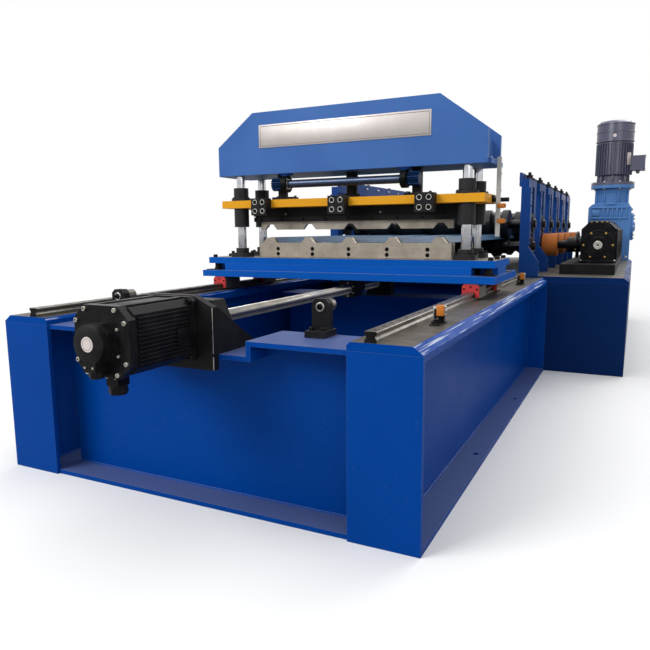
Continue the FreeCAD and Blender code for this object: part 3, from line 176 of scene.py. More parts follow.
def bare_steel(add, place, colour, shade, roughness, lay, line=0.9, metallic=0.85, stain=110):
    """Machined or ground steel: fine tool lines along one axis, or round a turned roll, and
    cloudy oil stains that dull the shine."""
    drawn = [per(line * (LAY_LENGTH if axis in lay else 1)) for axis in "xyz"]
    along = add("Mapping", {"Vector": place, "Scale": drawn})
    lines = add("TexNoise", {"Vector": along, "Scale": 1, "Detail": 3, "Roughness": 0.6})
    cloud = add("TexNoise", {"Vector": place, "Scale": per(stain), "Detail": 5, "Roughness": 0.65})
    oil = add("MapRange", {"Value": cloud, "From Min": 0.38, "From Max": 0.66})
    tone = add("Mix", {FACTOR: oil, FIRST: colour, SECOND: shade}, data_type="RGBA")
    cuts = add("MapRange", {"Value": lines, "From Min": 0.35, "From Max": 0.7, "To Max": 0.45})
    tone = add("Mix", {FACTOR: cuts, FIRST: tone, SECOND: shade}, data_type="RGBA")
    sheen = add("MapRange", {"Value": cloud, "From Min": 0.35, "From Max": 0.7,
                             "To Min": roughness, "To Max": roughness + 0.16})
    rounded = add("Bevel", {"Radius": 0.8 * MM}, samples=4)
    skin = add("Bump", {"Height": lines, "Distance": 0.05 * MM, "Strength": 0.5,
                        "Normal": rounded})
    return add("BsdfPrincipled", {"Base Color": tone, "Metallic": metallic, "Roughness": sheen,
                                  "Normal": skin})


def machined_deck(add, place, paint, paint_shade, steel, steel_shade, streaked):
    """A plate milled on top and enamelled on its sides: grey-brown steel with milling lines and
    stains above, blue below, and bright streaks along the slanted edge, partly rubbed paint and
    partly painted highlight."""
    facing = add("NewGeometry").outputs["Normal"]
    upright = add("SeparateXYZ", {"Vector": facing}).outputs["Z"]
    milled = add("Math", {0: upright, 1: 0.95}, operation="GREATER_THAN")
    slanted = add("Math", {0: upright, 1: 0.3}, operation="GREATER_THAN")
    along = add("Mapping", {"Vector": place, "Scale": (per(2), per(120), 1)})
    lines = add("TexNoise", {"Vector": along, "Scale": 1, "Detail": 4})
    cloud = add("TexNoise", {"Vector": place, "Scale": per(95), "Detail": 6, "Roughness": 0.62})
    oil = add("MapRange", {"Value": cloud, "From Min": 0.36, "From Max": 0.66})
    bare = add("Mix", {FACTOR: oil, FIRST: steel, SECOND: steel_shade}, data_type="RGBA")
    cuts = add("MapRange", {"Value": lines, "From Min": 0.4, "From Max": 0.75, "To Max": 0.4})
    bare = add("Mix", {FACTOR: cuts, FIRST: bare, SECOND: steel_shade}, data_type="RGBA")
    # Streaks a few millimetres wide along the slanted edge: paint rubbed by hands and sheet edges,
    # and a painted highlight of the light along that edge
    rub = add("Mapping", {"Vector": place, "Scale": (per(5), per(320), per(5))})
    streaks = add("TexNoise", {"Vector": rub, "Scale": 1, "Detail": 3})
    bright = add("MapRange", {"Value": streaks, "From Min": 0.55, "From Max": 0.6,
                              "To Max": streaked})
    worn = add("Math", {0: bright, 1: slanted}, operation="MULTIPLY")
    blue = add("Mix", {FACTOR: cloud, FIRST: paint, SECOND: paint_shade}, data_type="RGBA")
    # The pale streak colour stands for rubbed paint and a painted highlight together
    blue = add("Mix", {FACTOR: worn, FIRST: blue, SECOND: "#cfd7e4"}, data_type="RGBA")
    tone = add("Mix", {FACTOR: milled, FIRST: blue, SECOND: bare}, data_type="RGBA")
    metal = add("Math", {0: milled, 1: 0.7}, operation="MULTIPLY")
    dull = add("MapRange", {"Value": oil, "To Min": 0.34, "To Max": 0.5})
    rounded = add("Bevel", {"Radius": 1.2 * MM}, samples=4)
    skin = add("Bump", {"Height": lines, "Distance": 0.06 * MM, "Strength": 0.5,
                        "Normal": rounded})
    return add("BsdfPrincipled", {"Base Color": tone, "Metallic": metal, "Roughness": dull,
                                  "Specular IOR Level": DECK_SHINE, "Normal": skin})


def black_finish(add, place, colour, roughness, grain, depth, bare_edge=0.25, rounding=1.0):
    """Blackened, anodised or black painted metal: a low sheen on a fine grain, paler where
    hands rub it, with thin bright lines where corners are knocked bare."""
    cloud = add("TexNoise", {"Vector": place, "Scale": per(50), "Detail": 4, "Roughness": 0.6})
    rubbed = add("MapRange", {"Value": cloud, "From Min": 0.5, "From Max": 0.8, "To Max": 0.3})
    tone = add("Mix", {FACTOR: rubbed, FIRST: colour, SECOND: "#3c3c3f"}, data_type="RGBA")
    rounded = add("Bevel", {"Radius": rounding * MM}, samples=4)
    edge = edge_wear(add, rounded, add("NewGeometry"), 0.98, 0.88, bare_edge)
    knocks = add("MapRange", {"Value": cloud, "From Min": 0.42, "From Max": 0.6})
    worn = add("Math", {0: edge, 1: knocks}, operation="MULTIPLY")
    tone = add("Mix", {FACTOR: worn, FIRST: tone, SECOND: "#a9a39a"}, data_type="RGBA")
    sheen = add("MapRange", {"Value": cloud, "From Min": 0.3, "From Max": 0.7,
                             "To Min": roughness - 0.06, "To Max": roughness + 0.1})
    pits = add("TexNoise", {"Vector": place, "Scale": per(grain), "Detail": 3})
    skin = add("Bump", {"Height": pits, "Distance": depth * MM, "Strength": 0.6,
                        "Normal": rounded})
    return add("BsdfPrincipled", {"Base Color": tone, "Roughness": sheen,
                                  "Specular IOR Level": BLACK_SHINE, "Normal": skin})


def threaded_steel(add, place):
    """A ground ball screw: bright crests, and grooves dark with grease."""
    flat = add("Mapping", {"Vector": place, "Location": (0, 0, -SCREW_LEVEL * MM),
                           "Scale": (1, 0, 1)})
    out = add("VectorMath", {0: flat}, operation="LENGTH")
    crest = add("MapRange", {"Value": out, "From Min": 17.6 * MM, "From Max": 19.6 * MM})
    film = add("TexNoise", {"Vector": place, "Scale": per(60), "Detail": 3})
    steel = add("Mix", {FACTOR: film, FIRST: "#e4dfd6", SECOND: "#a49f97"}, data_type="RGBA")
    tone = add("Mix", {FACTOR: crest, FIRST: "#1d1c1b", SECOND: steel}, data_type="RGBA")
    sheen = add("MapRange", {"Value": crest, "To Min": 0.45, "To Max": 0.2})
    return add("BsdfPrincipled", {"Base Color": tone, "Metallic": 0.9, "Roughness": sheen})


def hard_chrome(add, place):
    """Hard chrome on ground posts: a cold mirror, a little greyer where the oil film lies."""
    film = add("TexNoise", {"Vector": place, "Scale": per(25), "Detail": 3})
    tone = add("Mix", {FACTOR: film, FIRST: "#d6d7da", SECOND: "#a4a6ac"}, data_type="RGBA")
    smear = add("MapRange", {"Value": film, "From Min": 0.3, "From Max": 0.7, "To Min": 0.07,
                             "To Max": 0.2})
    return add("BsdfPrincipled", {"Base Color": tone, "Metallic": 1.0, "Roughness": smear})


def moulded(add, place, colour, worn_colour, roughness):
    """Moulded plastic or rubber: an even colour with a matt grain, paler where it is scuffed."""
    scuff = add("TexNoise", {"Vector": place, "Scale": per(18), "Detail": 3})
    pale = add("MapRange", {"Value": scuff, "From Min": 0.45, "From Max": 0.75, "To Max": 0.5})
    tone = add("Mix", {FACTOR: pale, FIRST: colour, SECOND: worn_colour}, data_type="RGBA")
    grain = add("TexNoise", {"Vector": place, "Scale": per(0.7), "Detail": 2})
    skin = add("Bump", {"Height": grain, "Distance": 0.05 * MM, "Strength": 0.5})
    return add("BsdfPrincipled", {"Base Color": tone, "Roughness": roughness,
                                  "Specular IOR Level": 0.3, "Normal": skin})


def coated_sheet(add, place):
    """Coil-coated roof sheet: smooth slate blue with a soft gloss, streaked along its length by
    the rolls."""
    along = add("Mapping", {"Vector": place, "Scale": (per(8), per(400), per(8))})
    streaks = add("TexNoise", {"Vector": along, "Scale": 1, "Detail": 3})
    tone = add("Mix", {FACTOR: streaks, FIRST: "#4a6884", SECOND: "#2f4c6a"}, data_type="RGBA")
    sheen = add("MapRange", {"Value": streaks, "From Min": 0.3, "From Max": 0.7, "To Min": 0.34,
                             "To Max": 0.5})
    return add("BsdfPrincipled", {"Base Color": tone, "Metallic": 0.15, "Roughness": sheen,
                                  "Specular IOR Level": PAINT_SHINE})


def split_finish(add, place, first, second, axis, level, roughness, second_to=None,
                 metallic=0.0, second_metallic=0.0, mirrored=False):
    """One casting or shaft in two finishes that meet at a level on an axis: oiled steel or
    paint, with turning marks and oil clouds over both."""
    where = add("SeparateXYZ", {"Vector": place}).outputs[axis]
    if mirrored:
        where = add("Math", {0: where}, operation="ABSOLUTE")
    beyond = add("Math", {0: where, 1: level * MM}, operation="GREATER_THAN")
    if second_to is not None:
        short = add("Math", {0: where, 1: second_to * MM}, operation="LESS_THAN")
        beyond = add("Math", {0: beyond, 1: short}, operation="MULTIPLY")
    cloud = add("TexNoise", {"Vector": place, "Scale": per(60), "Detail": 4})
    near, far = (add("Mix", {FACTOR: cloud, FIRST: main, SECOND: shade}, data_type="RGBA")
                 for main, shade in (first, second))
    tone = add("Mix", {FACTOR: beyond, FIRST: near, SECOND: far}, data_type="RGBA")
    metal = metallic
    if second_metallic != metallic:
        metal = add("MapRange", {"Value": beyond, "To Min": metallic, "To Max": second_metallic})
    sheen = add("MapRange", {"Value": cloud, "From Min": 0.3, "From Max": 0.7,
                             "To Min": roughness - 0.05, "To Max": roughness + 0.1})
    turned = add("Mapping", {"Vector": place, "Scale": (per(1.2), per(40), per(40))})
    marks = add("TexNoise", {"Vector": turned, "Scale": 1, "Detail": 3})
    rounded = add("Bevel", {"Radius": 1 * MM}, samples=4)
    skin = add("Bump", {"Height": marks, "Distance": 0.05 * MM, "Strength": 0.5,
                        "Normal": rounded})
    return add("BsdfPrincipled", {"Base Color": tone, "Metallic": metal, "Roughness": sheen,
                                  "Specular IOR Level": PAINT_SHINE, "Normal": skin})


BLUE, BLUE_SHADE = "#00459f", "#003d8c"
OILED = "#1d1e22", "#0f1013"

# Each finish's material, its recipe and the recipe's settings
RECIPES = {
    "blue_paint": ("blue_gloss_enamel", enamel, BLUE, BLUE_SHADE),
    "carriage_blue": ("carriage_gloss_enamel", enamel, "#0c5dbd", "#0a52aa", 0.28),
    # The top beam's enamel is paler than the rest as painted haze, a painted reflection of bright
    # light from behind, and its two tones lie further apart as painted light and shade
    "beam_blue": ("beam_gloss_enamel", enamel, "#4f78b8", "#345c9d", 0.34),
    # The mill base's enamel is darker than the table's as painted shade, as if the shear's shadow
    # lay on it
    "base_blue": ("base_gloss_enamel", enamel, "#0a2f68", "#092758"),
    "stand_blue": ("stand_gloss_enamel", enamel, "#1c4488", "#173a76", 0.3, 0.5),
    "yellow_paint": ("yellow_gloss_enamel", enamel, "#eba82c", "#dd9a22", 0.3, 0.15, 0.1, 0.3),
    "reducer_blue": ("reducer_gloss_enamel", enamel, "#5a8ac6", "#4876b2", 0.34, 0.3, 0.2, 0.3,
                     0.2),
    "motor_grey": ("motor_gloss_enamel", enamel, "#53556d", "#3f4158", 0.24, 0.3, 0.08, 0.2, 0.6),
    "machined_steel": ("milled_table_deck", machined_deck, BLUE, BLUE_SHADE, "#77726a",
                       "#56524b", 0.75),
    "mill_deck": ("milled_mill_deck", machined_deck, "#0c3270", "#0a2a5e", "#6f6a60", "#504c45",
                  0.3),
    "bolster": ("milled_bolster", machined_deck, "#0c5dbd", "#0a52aa", "#8b8275", "#6d665c", 0.2),
    "ground_steel": ("ground_steel", bare_steel, "#8a847c", "#5f5b55", 0.3, "y"),
    "bright_thread": ("ground_thread_steel", threaded_steel),
    "blade_steel": ("ground_tool_steel", bare_steel, "#b2a99d", "#8f877b", 0.36, "x", 1.2, 0.55),
    "zinc": ("zinc_plated_steel", bare_steel, "#d6d3cb", "#a9a59c", 0.25, "z", 0.5, 0.9, 20),
    "brass": ("yellow_zinc_plate", bare_steel, "#c9a75c", "#98783a", 0.3, "z", 0.5, 0.9, 20),
    "plate_silver": ("satin_aluminium_plate", bare_steel, "#c4bdba", "#b1aaa6", 0.34, "x", 0.7,
                     0.5, 260),
    "black_steel": ("blackened_steel", black_finish, "#19191b", 0.42, 1.5, 0.05),
    "bushing_grey": ("oiled_bushing_steel", black_finish, "#2c2c2e", 0.34, 0.8, 0.02, 0.3),
    "servo_black": ("black_anodised_aluminium", black_finish, "#121214", 0.36, 1, 0.03, 0.12),
    "socket_black": ("black_oxide_screws", black_finish, "#0d0d0e", 0.34, 0.6, 0.02, 0.3, 0.4),
    "switch_bracket": ("black_switch_bracket", black_finish, "#161616", 0.45, 1, 0.03, 0.2),
    "black_castings": ("black_gloss_casting", black_finish, "#0c0d12", 0.22, 6, 0.3, 0.2, 3),
    "window_plate": ("oiled_cover_plate", black_finish, "#4b4644", 0.42, 3, 0.05, 0.1),
    "chromed_posts": ("hard_chrome", hard_chrome),
    "red_plastic": ("red_end_cap_plastic", moulded, "#c43a3c", "#a03032", 0.4),
    "green_seal": ("green_seal_plastic", moulded, "#1f5a3c", "#2c6b4a", 0.45),
    "orange_plastic": ("orange_switch_plastic", moulded, "#cc7a2c", "#b36a2a", 0.38),
    "plate_grey": ("grey_border_ink", moulded, "#85807e", "#75706e", 0.4),
    "label": ("pale_round_label", moulded, "#d9cfcb", "#cbbfbb", 0.35),
    "galvanised_sheet": ("coil_coated_sheet", coated_sheet),
    "black_rolls": ("oiled_rolls_and_drum", split_finish, OILED, ("#c4743a", "#a8622f"), "X",
                    629.5, 0.3, 720.5, 0.6),
    "rolls_only": ("oiled_roll_steel", bare_steel, *OILED, 0.27, "yz", 1.2, 0.6, 60),
    "gear_steel": ("oiled_shaft_and_painted_pinion", split_finish, ("#4a5468", "#3a4357"),
                   ("#123058", "#0d2444"), "X", 299, 0.26, None, 0.7, 0.3, True),
    "hanger": ("black_hub_under_blue_plate", split_finish, ("#101413", "#0b0f0e"),
               ("#2a5cb0", "#2350a0"), "Z", 1053, 0.4),
    "switch_bar": ("white_bar_orange_switches", split_finish, ("#c9c9c6", "#b4b4b0"),
                   ("#cc7a2c", "#b36a2a"), "X", 661.2, 0.36),
}
FINISHES = {key: finish(*recipe) for key, recipe in RECIPES.items()}

# The node's own slot decides its finish, apart from these
NODE_FINISH = {
    "top_beam": "beam_blue", "mill_base": "base_blue", "mill_stands": "stand_blue",
    "stand_ties": "stand_blue", "mill_deck": "mill_deck", "bolster": "bolster",
    "carriage_plate": "carriage_blue", "carriage_spacers": "carriage_blue",
    "shaft_hangers": "hanger", "slide_bushings": "bushing_grey", "post_sockets": "bushing_grey",
    "switch_bar": "switch_bar", "lower_rolls_1": "rolls_only", "sync_racks": "black_steel",
    "piston_rod": "black_steel",
    **{f"upper_rolls_{i}": "rolls_only" for i in range(1, 7)},
}


def dress_cad_nodes():
    slots = {s["node"]: s["material_slot"] for s in frame["record"]["subparts"]}
    for name, thing in frame["nodes"].items():
        thing.data.materials.clear()
        thing.data.materials.append(FINISHES[NODE_FINISH.get(name, slots[name])])


# Shapes, each added to a bmesh in millimetres

TURNS = {
    "x": Matrix.Rotation(math.pi / 2, 4, "Y"), "-x": Matrix.Rotation(-math.pi / 2, 4, "Y"),
    "y": Matrix.Rotation(-math.pi / 2, 4, "X"), "-y": Matrix.Rotation(math.pi / 2, 4, "X"),
    "z": Matrix.Identity(4), "-z": Matrix.Rotation(math.pi, 4, "X"),
}
STAY = Matrix.Identity(4)
SIDES = (-1, 1)
SHARP_TURN = math.radians(32)


def way(axis, side):
    """The facing along an axis, towards its low or its high side."""
    return axis if side > 0 else "-" + axis


def circle(count, radius, phase=0.0):
    """Places evenly spaced round a circle."""
    angles = [math.tau * (i + phase) / count for i in range(count)]
    return [(radius * math.cos(angle), radius * math.sin(angle)) for angle in angles]


def put(mesh, shape, move):
    """Adds a finished shape to a larger mesh, moved to its place."""
    data = bpy.data.meshes.new("shape")
    shape.to_mesh(data)
    shape.free()
    data.transform(move)
    mesh.from_mesh(data)
    bpy.data.meshes.remove(data)


def block_in(mesh, x, y, z, bevel=1.0, move=STAY):
    """A block that fills three spans, its edges broken by a small bevel."""
    low, high = (Vector(corner) for corner in zip(x, y, z))
    shape = bmesh.new()
    bmesh.ops.create_cube(shape, size=1,
                          matrix=Matrix.LocRotScale((low + high) / 2, None, high - low))
    bmesh.ops.bevel(shape, geom=shape.edges[:], offset=bevel, segments=2, profile=0.5,
                    affect="EDGES", material=-1)
    put(mesh, shape, move)


def turned_in(mesh, foot, facing, profile, steps=24):
    """Turns a profile of (radius, height) points once round the axis that leaves foot."""
    shape = bmesh.new()
    line = [shape.verts.new((r, 0, h)) for r, h in profile]
    edges = [shape.edges.new(pair) for pair in zip(line, line[1:])]
    bmesh.ops.spin(shape, geom=line + edges, cent=(0, 0, 0), axis=(0, 0, 1), angle=math.tau,
                   steps=steps, use_merge=True)
    bmesh.ops.remove_doubles(shape, verts=shape.verts, dist=0.001)
    put(mesh, shape, Matrix.Translation(foot) @ TURNS[facing])


def disc_in(mesh, foot, facing, radius, height, edge=0.6, steps=24):
    """A round plate or stud with a broken edge."""
    turned_in(mesh, foot, facing, [(0, height), (radius - edge, height), (radius, height - edge),
                                   (radius, 0), (0, 0)], steps)


def ring_in(mesh, foot, facing, bore, radius, height, edge=0.6, steps=32):
    """A collar, washer or cover with a bore."""
    turned_in(mesh, foot, facing, [(bore, 0), (bore, height - edge), (bore + edge, height),
                                   (radius - edge, height), (radius, height - edge), (radius, 0),
                                   (bore, 0)], steps)


def cap_screw_in(mesh, foot, facing, radius, steps=16):
    """A socket head cap screw."""
    r = radius
    turned_in(mesh, foot, facing, [(0, 0.5 * r), (0.5 * r, 0.5 * r), (0.55 * r, 1.15 * r),
                                   (0.86 * r, 1.15 * r), (r, r), (r, 0), (0, 0)], steps)


def hex_bolt_in(mesh, foot, facing, radius):
    """A hexagon bolt head on its washer."""
    r = radius
    turned_in(mesh, foot, facing, [(0, 0.2 * r), (1.2 * r, 0.2 * r), (1.25 * r, 0.12 * r),
                                   (1.25 * r, 0), (0, 0)], 18)
    seat = Vector(foot) + TURNS[facing] @ Vector((0, 0, 0.2 * r))
    turned_in(mesh, seat, facing, [(0, 0.7 * r), (0.8 * r, 0.7 * r), (r, 0.6 * r), (r, 0),
                                   (0, 0)], 6)


def lock_nut_in(mesh, foot, radius, nut):
    """A nut on the end of a sensor's stud, facing outwards on the right."""
    turned_in(mesh, foot, "x", [(0, 7), (radius, 7), (radius, 3), (nut, 3), (nut, 0), (0, 0)], 6)


def outline_in(mesh, outline, low, high):
    """A plate cut to an outline of (x, z) corners, between two places along Y."""
    shape = bmesh.new()
    face = shape.faces.new([shape.verts.new((x, low, z)) for x, z in outline])
    made = bmesh.ops.extrude_face_region(shape, geom=[face], use_keep_orig=True)["geom"]
    bmesh.ops.translate(shape, vec=(0, high - low, 0),
                        verts=[v for v in made if isinstance(v, bmesh.types.BMVert)])
    put(mesh, shape, STAY)


def piece(name, mesh, finish, body="frame"):
    """Makes the bmesh an object of that finish that moves with a body."""
    bmesh.ops.scale(mesh, vec=(MM, MM, MM), verts=mesh.verts)
    bmesh.ops.recalc_face_normals(mesh, faces=mesh.faces)
    data = bpy.data.meshes.new(name)
    mesh.to_mesh(data)
    mesh.free()
    data.materials.append(FINISHES[finish])
    data.shade_smooth()
    data.set_sharp_from_angle(angle=SHARP_TURN)
    made = link_object(name, data)
    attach(made, body)
    return made


# Table

RAIL_X, RAIL_TOP = 598, 560


def weld_seams():
    """Fillet welds between the beams' webs and flanges, which catch a bright line of light."""
    mesh = bmesh.new()
    for side, x in product(SIDES, (629, 641)):
        disc_in(mesh, (side * x, -94, 14), "y", 4.5, 2280, 0.5, 8)
    for y in (-6, 6):
        disc_in(mesh, (-535, y, 14), "x", 4.5, 1070, 0.5, 8)
    piece("weld_seams", mesh, "blue_paint")


def rail_screws():
    """Plugged screw holes along the tops of the rails, at the usual 60 mm pitch."""
    mesh = bmesh.new()
    for side, i in product(SIDES, range(38)):
        turned_in(mesh, (side * RAIL_X, -74 + 60 * i, RAIL_TOP), "z",
                  [(0, 0.1), (4.4, 0.1), (4.8, 0.3), (5.6, 0.3), (5.9, 0), (0, 0)], 12)
    piece("rail_screws", mesh, "socket_black")


def stop_screws():
    black, bright = bmesh.new(), bmesh.new()
    for side in SIDES:
        x = side * 380
        ring_in(bright, (x, 57, 592), "-y", 8.5, 13.5, 4, 1.2)
        cap_screw_in(black, (x, 57, 592), "-y", 8.2)
        for across in (-18, 18):
            cap_screw_in(black, (x + across, 38, 527), "z", 8)
    piece("stop_screws", black, "socket_black")
    piece("stop_lock_rings", bright, "zinc")


def ball_screw_thread():
    """The two-start ball screw in place of its plain round bar: rounded grooves at 10 mm pitch,
    which climb 20 mm a turn, between a collar at each end and the bearing journals."""
    low, high = (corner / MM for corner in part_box("ball_screw"))
    radius, pitch, starts, steps = 20, 10, 2, 24
    first, last = 90, 1456
    lead = starts * pitch
    turns = int((last - first) / lead) - 1
    thread = bmesh.new()
    groove = [(3.2, radius), (4.2, radius - 1.6), (6.6, radius - 3), (9, radius - 1.6),
              (pitch, radius)]
    line = [thread.verts.new((radius, 0, 0))]
    for start in range(starts):
        line += [thread.verts.new((r, 0, h + start * pitch)) for h, r in groove]
    edges = [thread.edges.new(pair) for pair in zip(line, line[1:])]
    bmesh.ops.spin(thread, geom=line + edges, cent=(0, 0, 0), axis=(0, 0, 1),
                   dvec=(0, 0, lead / steps), angle=math.tau * turns, steps=steps * turns)
    bmesh.ops.remove_doubles(thread, verts=thread.verts, dist=0.01)
    bmesh.ops.holes_fill(thread, edges=[e for e in thread.edges if e.is_boundary])
    mesh = bmesh.new()
    put(mesh, thread, Matrix.Translation((0, first, SCREW_LEVEL)) @ TURNS["y"])
    core, collar, journal = 16.4, 20.1, 15
    turned_in(mesh, (0, 0, SCREW_LEVEL), "y",
              [(0, low.y), (14.4, low.y), (journal, low.y + 1), (journal, 79), (19.2, 79),
               (collar, 80), (collar, first + lead), (core, first + lead + 1),
               (core, last - lead - 7), (collar, last - lead - 6), (collar, 1465), (19.2, 1466),
               (journal, 1466), (journal, high.y - 1), (14.4, high.y), (0, high.y)])
    made = piece("ball_screw_thread", mesh, "bright_thread", "screw")
    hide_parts("ball_screw")


def screw_covers(cover, screws, body, ends, ring, spots, head):
    """Covers round the ball screw at the two ends of a housing, each with its screws."""
    black, bright = bmesh.new(), bmesh.new()
    bore, radius, height, edge = ring
    for side, y in zip(SIDES, ends):
        ring_in(black, (0, y, SCREW_LEVEL), way("y", side), bore, radius, height, edge)
        for x, z in spots:
            cap_screw_in(bright, (x, y + side * height, SCREW_LEVEL + z), way("y", side), head, 12)
    piece(cover, black, "bushing_grey", body)
    piece(screws, bright, "zinc", body)


def bracket_screws():
    mesh = bmesh.new()
    for side, y in product(SIDES, (-62, -12, 42)):
        cap_screw_in(mesh, (side * 96, y, 483), "z", 9)
    piece("bracket_screws", mesh, "socket_black")


def knocked_edge():
    """The bracket's front corner, knocked down to bare metal along most of its height."""
    mesh = bmesh.new()
    block_in(mesh, (138.6, 140.3), (-124.3, -122.8), (470, 597), 0.5)
    block_in(mesh, (137.4, 140.4), (-124.4, -121.6), (423, 461), 0.8)
    block_in(mesh, (138.2, 140.4), (-124.4, -122.4), (505, 522), 0.6)
    piece("bracket_bare_edge", mesh, "zinc")


def deck_switch_heads():
    """The two proximity switches' orange bodies, silver plates, nuts and front feet. They stay
    5 mm below the carriage plate, which passes over them."""
    orange, silver, bright, black = bmesh.new(), bmesh.new(), bmesh.new(), bmesh.new()
    for y in (267, 1720):
        block_in(orange, (661, 682), (y - 22, y - 2), (558, 588.5), 1.2)
        block_in(silver, (646, 661), (y - 2.5, y), (544, 584), 0.4)
        for z in (562, 573, 584):
            lock_nut_in(bright, (682, y - 12, z), 2.2, 4.2)
        block_in(black, (646, 678), (y - 42, y), (531, 535), 0.8)
        cap_screw_in(black, (654, y - 28, 535), "z", 6)
        cap_screw_in(black, (653, y - 2.5, 549), "-y", 3.4, 12)
    piece("deck_switch_heads", orange, "orange_plastic")
    piece("deck_switch_plates", silver, "plate_silver")
    piece("deck_switch_nuts", bright, "zinc")
    piece("deck_switch_feet", black, "switch_bracket")


def rail_ends():
    """Thin black plates on the sawn rail ends: painted shade for the shadow on the end faces."""
    mesh = bmesh.new()
    half = [(8.5, 531.3), (16.6, 531.3), (16.6, 536), (11.6, 543), (11.6, 547), (16.6, 553),
            (16.6, 557.5), (14.8, 559.6), (0, 559.6)]
    for side in SIDES:
        shape = [(side * RAIL_X + x, z) for x, z in half]
        shape += [(side * RAIL_X - x, z) for x, z in reversed(half[:-1])]
        outline_in(mesh, shape, -104.6, -103.8)
    piece("rail_ends", mesh, "socket_black")


# Servo motor

def servo_fins():
    mesh = bmesh.new()
    for side, i in product(SIDES, range(12)):
        z = SCREW_LEVEL - 60 + 10.6 * i
        block_in(mesh, sorted((side * 83, side * 88.5)), (-352, -156), (z - 2.6, z + 2.6), 0.8)
    for x in (-46, 46):
        block_in(mesh, (x - 9, x + 9), (-358, -148), (621, 627.5), 2)
    block_in(mesh, (-30, 30), (-358, -148), (621, 624.5), 1.5)
    piece("servo_fins", mesh, "servo_black")


def servo_screws():
    bright, black = bmesh.new(), bmesh.new()
    cap, flange, face = -388, -144, -432
    for side, lift in product(SIDES, SIDES):
        for across, up in ((50, 80), (80, 50)):
            cap_screw_in(bright, (side * across, cap, SCREW_LEVEL + lift * up), "-y", 6)
        cap_screw_in(bright, (side * 54.5, cap, SCREW_LEVEL + lift * 33), "-y", 4.2, 12)
        cap_screw_in(black, (side * 79, flange, SCREW_LEVEL + lift * 79), "-y", 7)
    for side in SIDES:
        cap_screw_in(bright, (side * 13, face, 480), "-y", 2.8, 12)
        cap_screw_in(bright, (side * 14, -362.5, 440), "-y", 2.8, 12)
    piece("servo_screws", bright, "zinc")
    piece("servo_flange_screws", black, "socket_black")


def servo_trim():
    """The encoder's stepped lid, the ribbed cable glands and the side cover plate."""
    mesh = bmesh.new()
    turned_in(mesh, (0, -432, SCREW_LEVEL), "-y",
              [(0, 2.4), (37, 2.4), (40, 1.2), (45, 0.8), (46.5, 0), (0, 0)], 48)
    ring_in(mesh, (0, -342, 399), "z", 22, 25, 11, 1.2, 8)
    ring_in(mesh, (0, -342, 412), "z", 20, 23.5, 5, 1.2, 32)
    disc_in(mesh, (0, -410, 470), "-z", 17, 20, 1.5)
    ring_in(mesh, (0, -410, 462), "-z", 17, 19, 7, 1, 8)
    block_in(mesh, (-25, 25), (-366, -320), (448, 453), 1)
    block_in(mesh, (88.3, 89.3), (-208, -166), (497, 548), 0.4)
    piece("servo_trim", mesh, "servo_black")


def servo_label():
    """The round label on the encoder, left bare."""
    mesh = bmesh.new()
    disc_in(mesh, (0, -434.4, SCREW_LEVEL), "-y", 19, 0.8, 0.3, 40)
    piece("servo_label", mesh, "label")
    mesh = bmesh.new()
    ring_in(mesh, (0, -435.2, SCREW_LEVEL), "-y", 13.6, 14.6, 0.3, 0.1, 40)
    piece("servo_label_ring", mesh, "plate_grey")


# Carriage

POST_X, POSTS = 545, (1055, 1243)
CYLINDER_Y = 1138.5


def linear_block_caps():
    """Red end caps with a green seal behind each, at both ends of the four blocks."""
    red, green, black = bmesh.new(), bmesh.new(), bmesh.new()
    cap = [(-34, 540), (-18, 540), (-18, 561), (18, 561), (18, 540), (34, 540), (34, 583),
           (26, 592), (-26, 592), (-34, 583)]
    for side, ends in product(SIDES, ((935, 1047), (1280, 1392))):
        shape = [(side * RAIL_X + x, z) for x, z in cap]
        for out, end in zip(SIDES, ends):
            seam, far = end + out * 1.5, end + out * 5.5
            outline_in(green, shape, *sorted((end, seam)))
            outline_in(red, shape, *sorted((seam, far)))
            for x, z in ((-25, 574), (25, 574), (0, 583)):
                cap_screw_in(black, (side * RAIL_X + x, far, z), way("y", out), 3.4, 12)
    piece("linear_block_caps", red, "red_plastic", "carriage")
    piece("linear_block_seals", green, "green_seal", "carriage")
    piece("linear_block_cap_screws", black, "socket_black", "carriage")


def levelling_jacks():
    """Sleeves, nuts and shim plates of the levelling screws at the bolster's corners."""
    mesh = bmesh.new()
    for side, (out, y) in product(SIDES, zip(SIDES, (998, 1241))):
        x = side * 651
        block_in(mesh, (x - 40, x + 40), sorted((y - out * 12, y + out * 44)), (623, 626), 0.8)
        ring_in(mesh, (x, y, 626), "z", 9.2, 15, 27.6, 1.5, 24)
        ring_in(mesh, (x, y, 626), "z", 9.2, 19, 9, 1, 6)
    piece("levelling_jacks", mesh, "socket_black", "carriage")


def bolster_screws():
    mesh = bmesh.new()
    for side, post, across, along in product(SIDES, POSTS, (-33, 33), (-33, 33)):
        cap_screw_in(mesh, (side * POST_X + across, post + along, 703), "z", 7.5)
    for side, y in product(SIDES, (990, 1119, 1250)):
        cap_screw_in(mesh, (side * 660, y, 683), "z", 10.5)
    piece("bolster_screws", mesh, "socket_black", "carriage")


def blade_screws():
    """Socket screws sunk in the front die's paired holes, and a thin black ring round each hole
    as painted shade in its countersink.
    """
    mesh = bmesh.new()
    for i, z in product(range(-2, 3), (697, 721)):
        turned_in(mesh, (185 * i, 1116.5, z), "-y",
                  [(0, 9), (3.8, 9), (4, 17), (7.3, 17), (7.8, 16), (7.8, 0), (0, 0)], 20)
        # A thin black ring on the die's face round each hole: painted shade where the countersink
        # falls dark
        ring_in(mesh, (185 * i, 1097.1, z), "-y", 7.6, 9.4, 0.5, 0.2, 24)
    piece("blade_screws", mesh, "socket_black", "carriage")


# Top beam

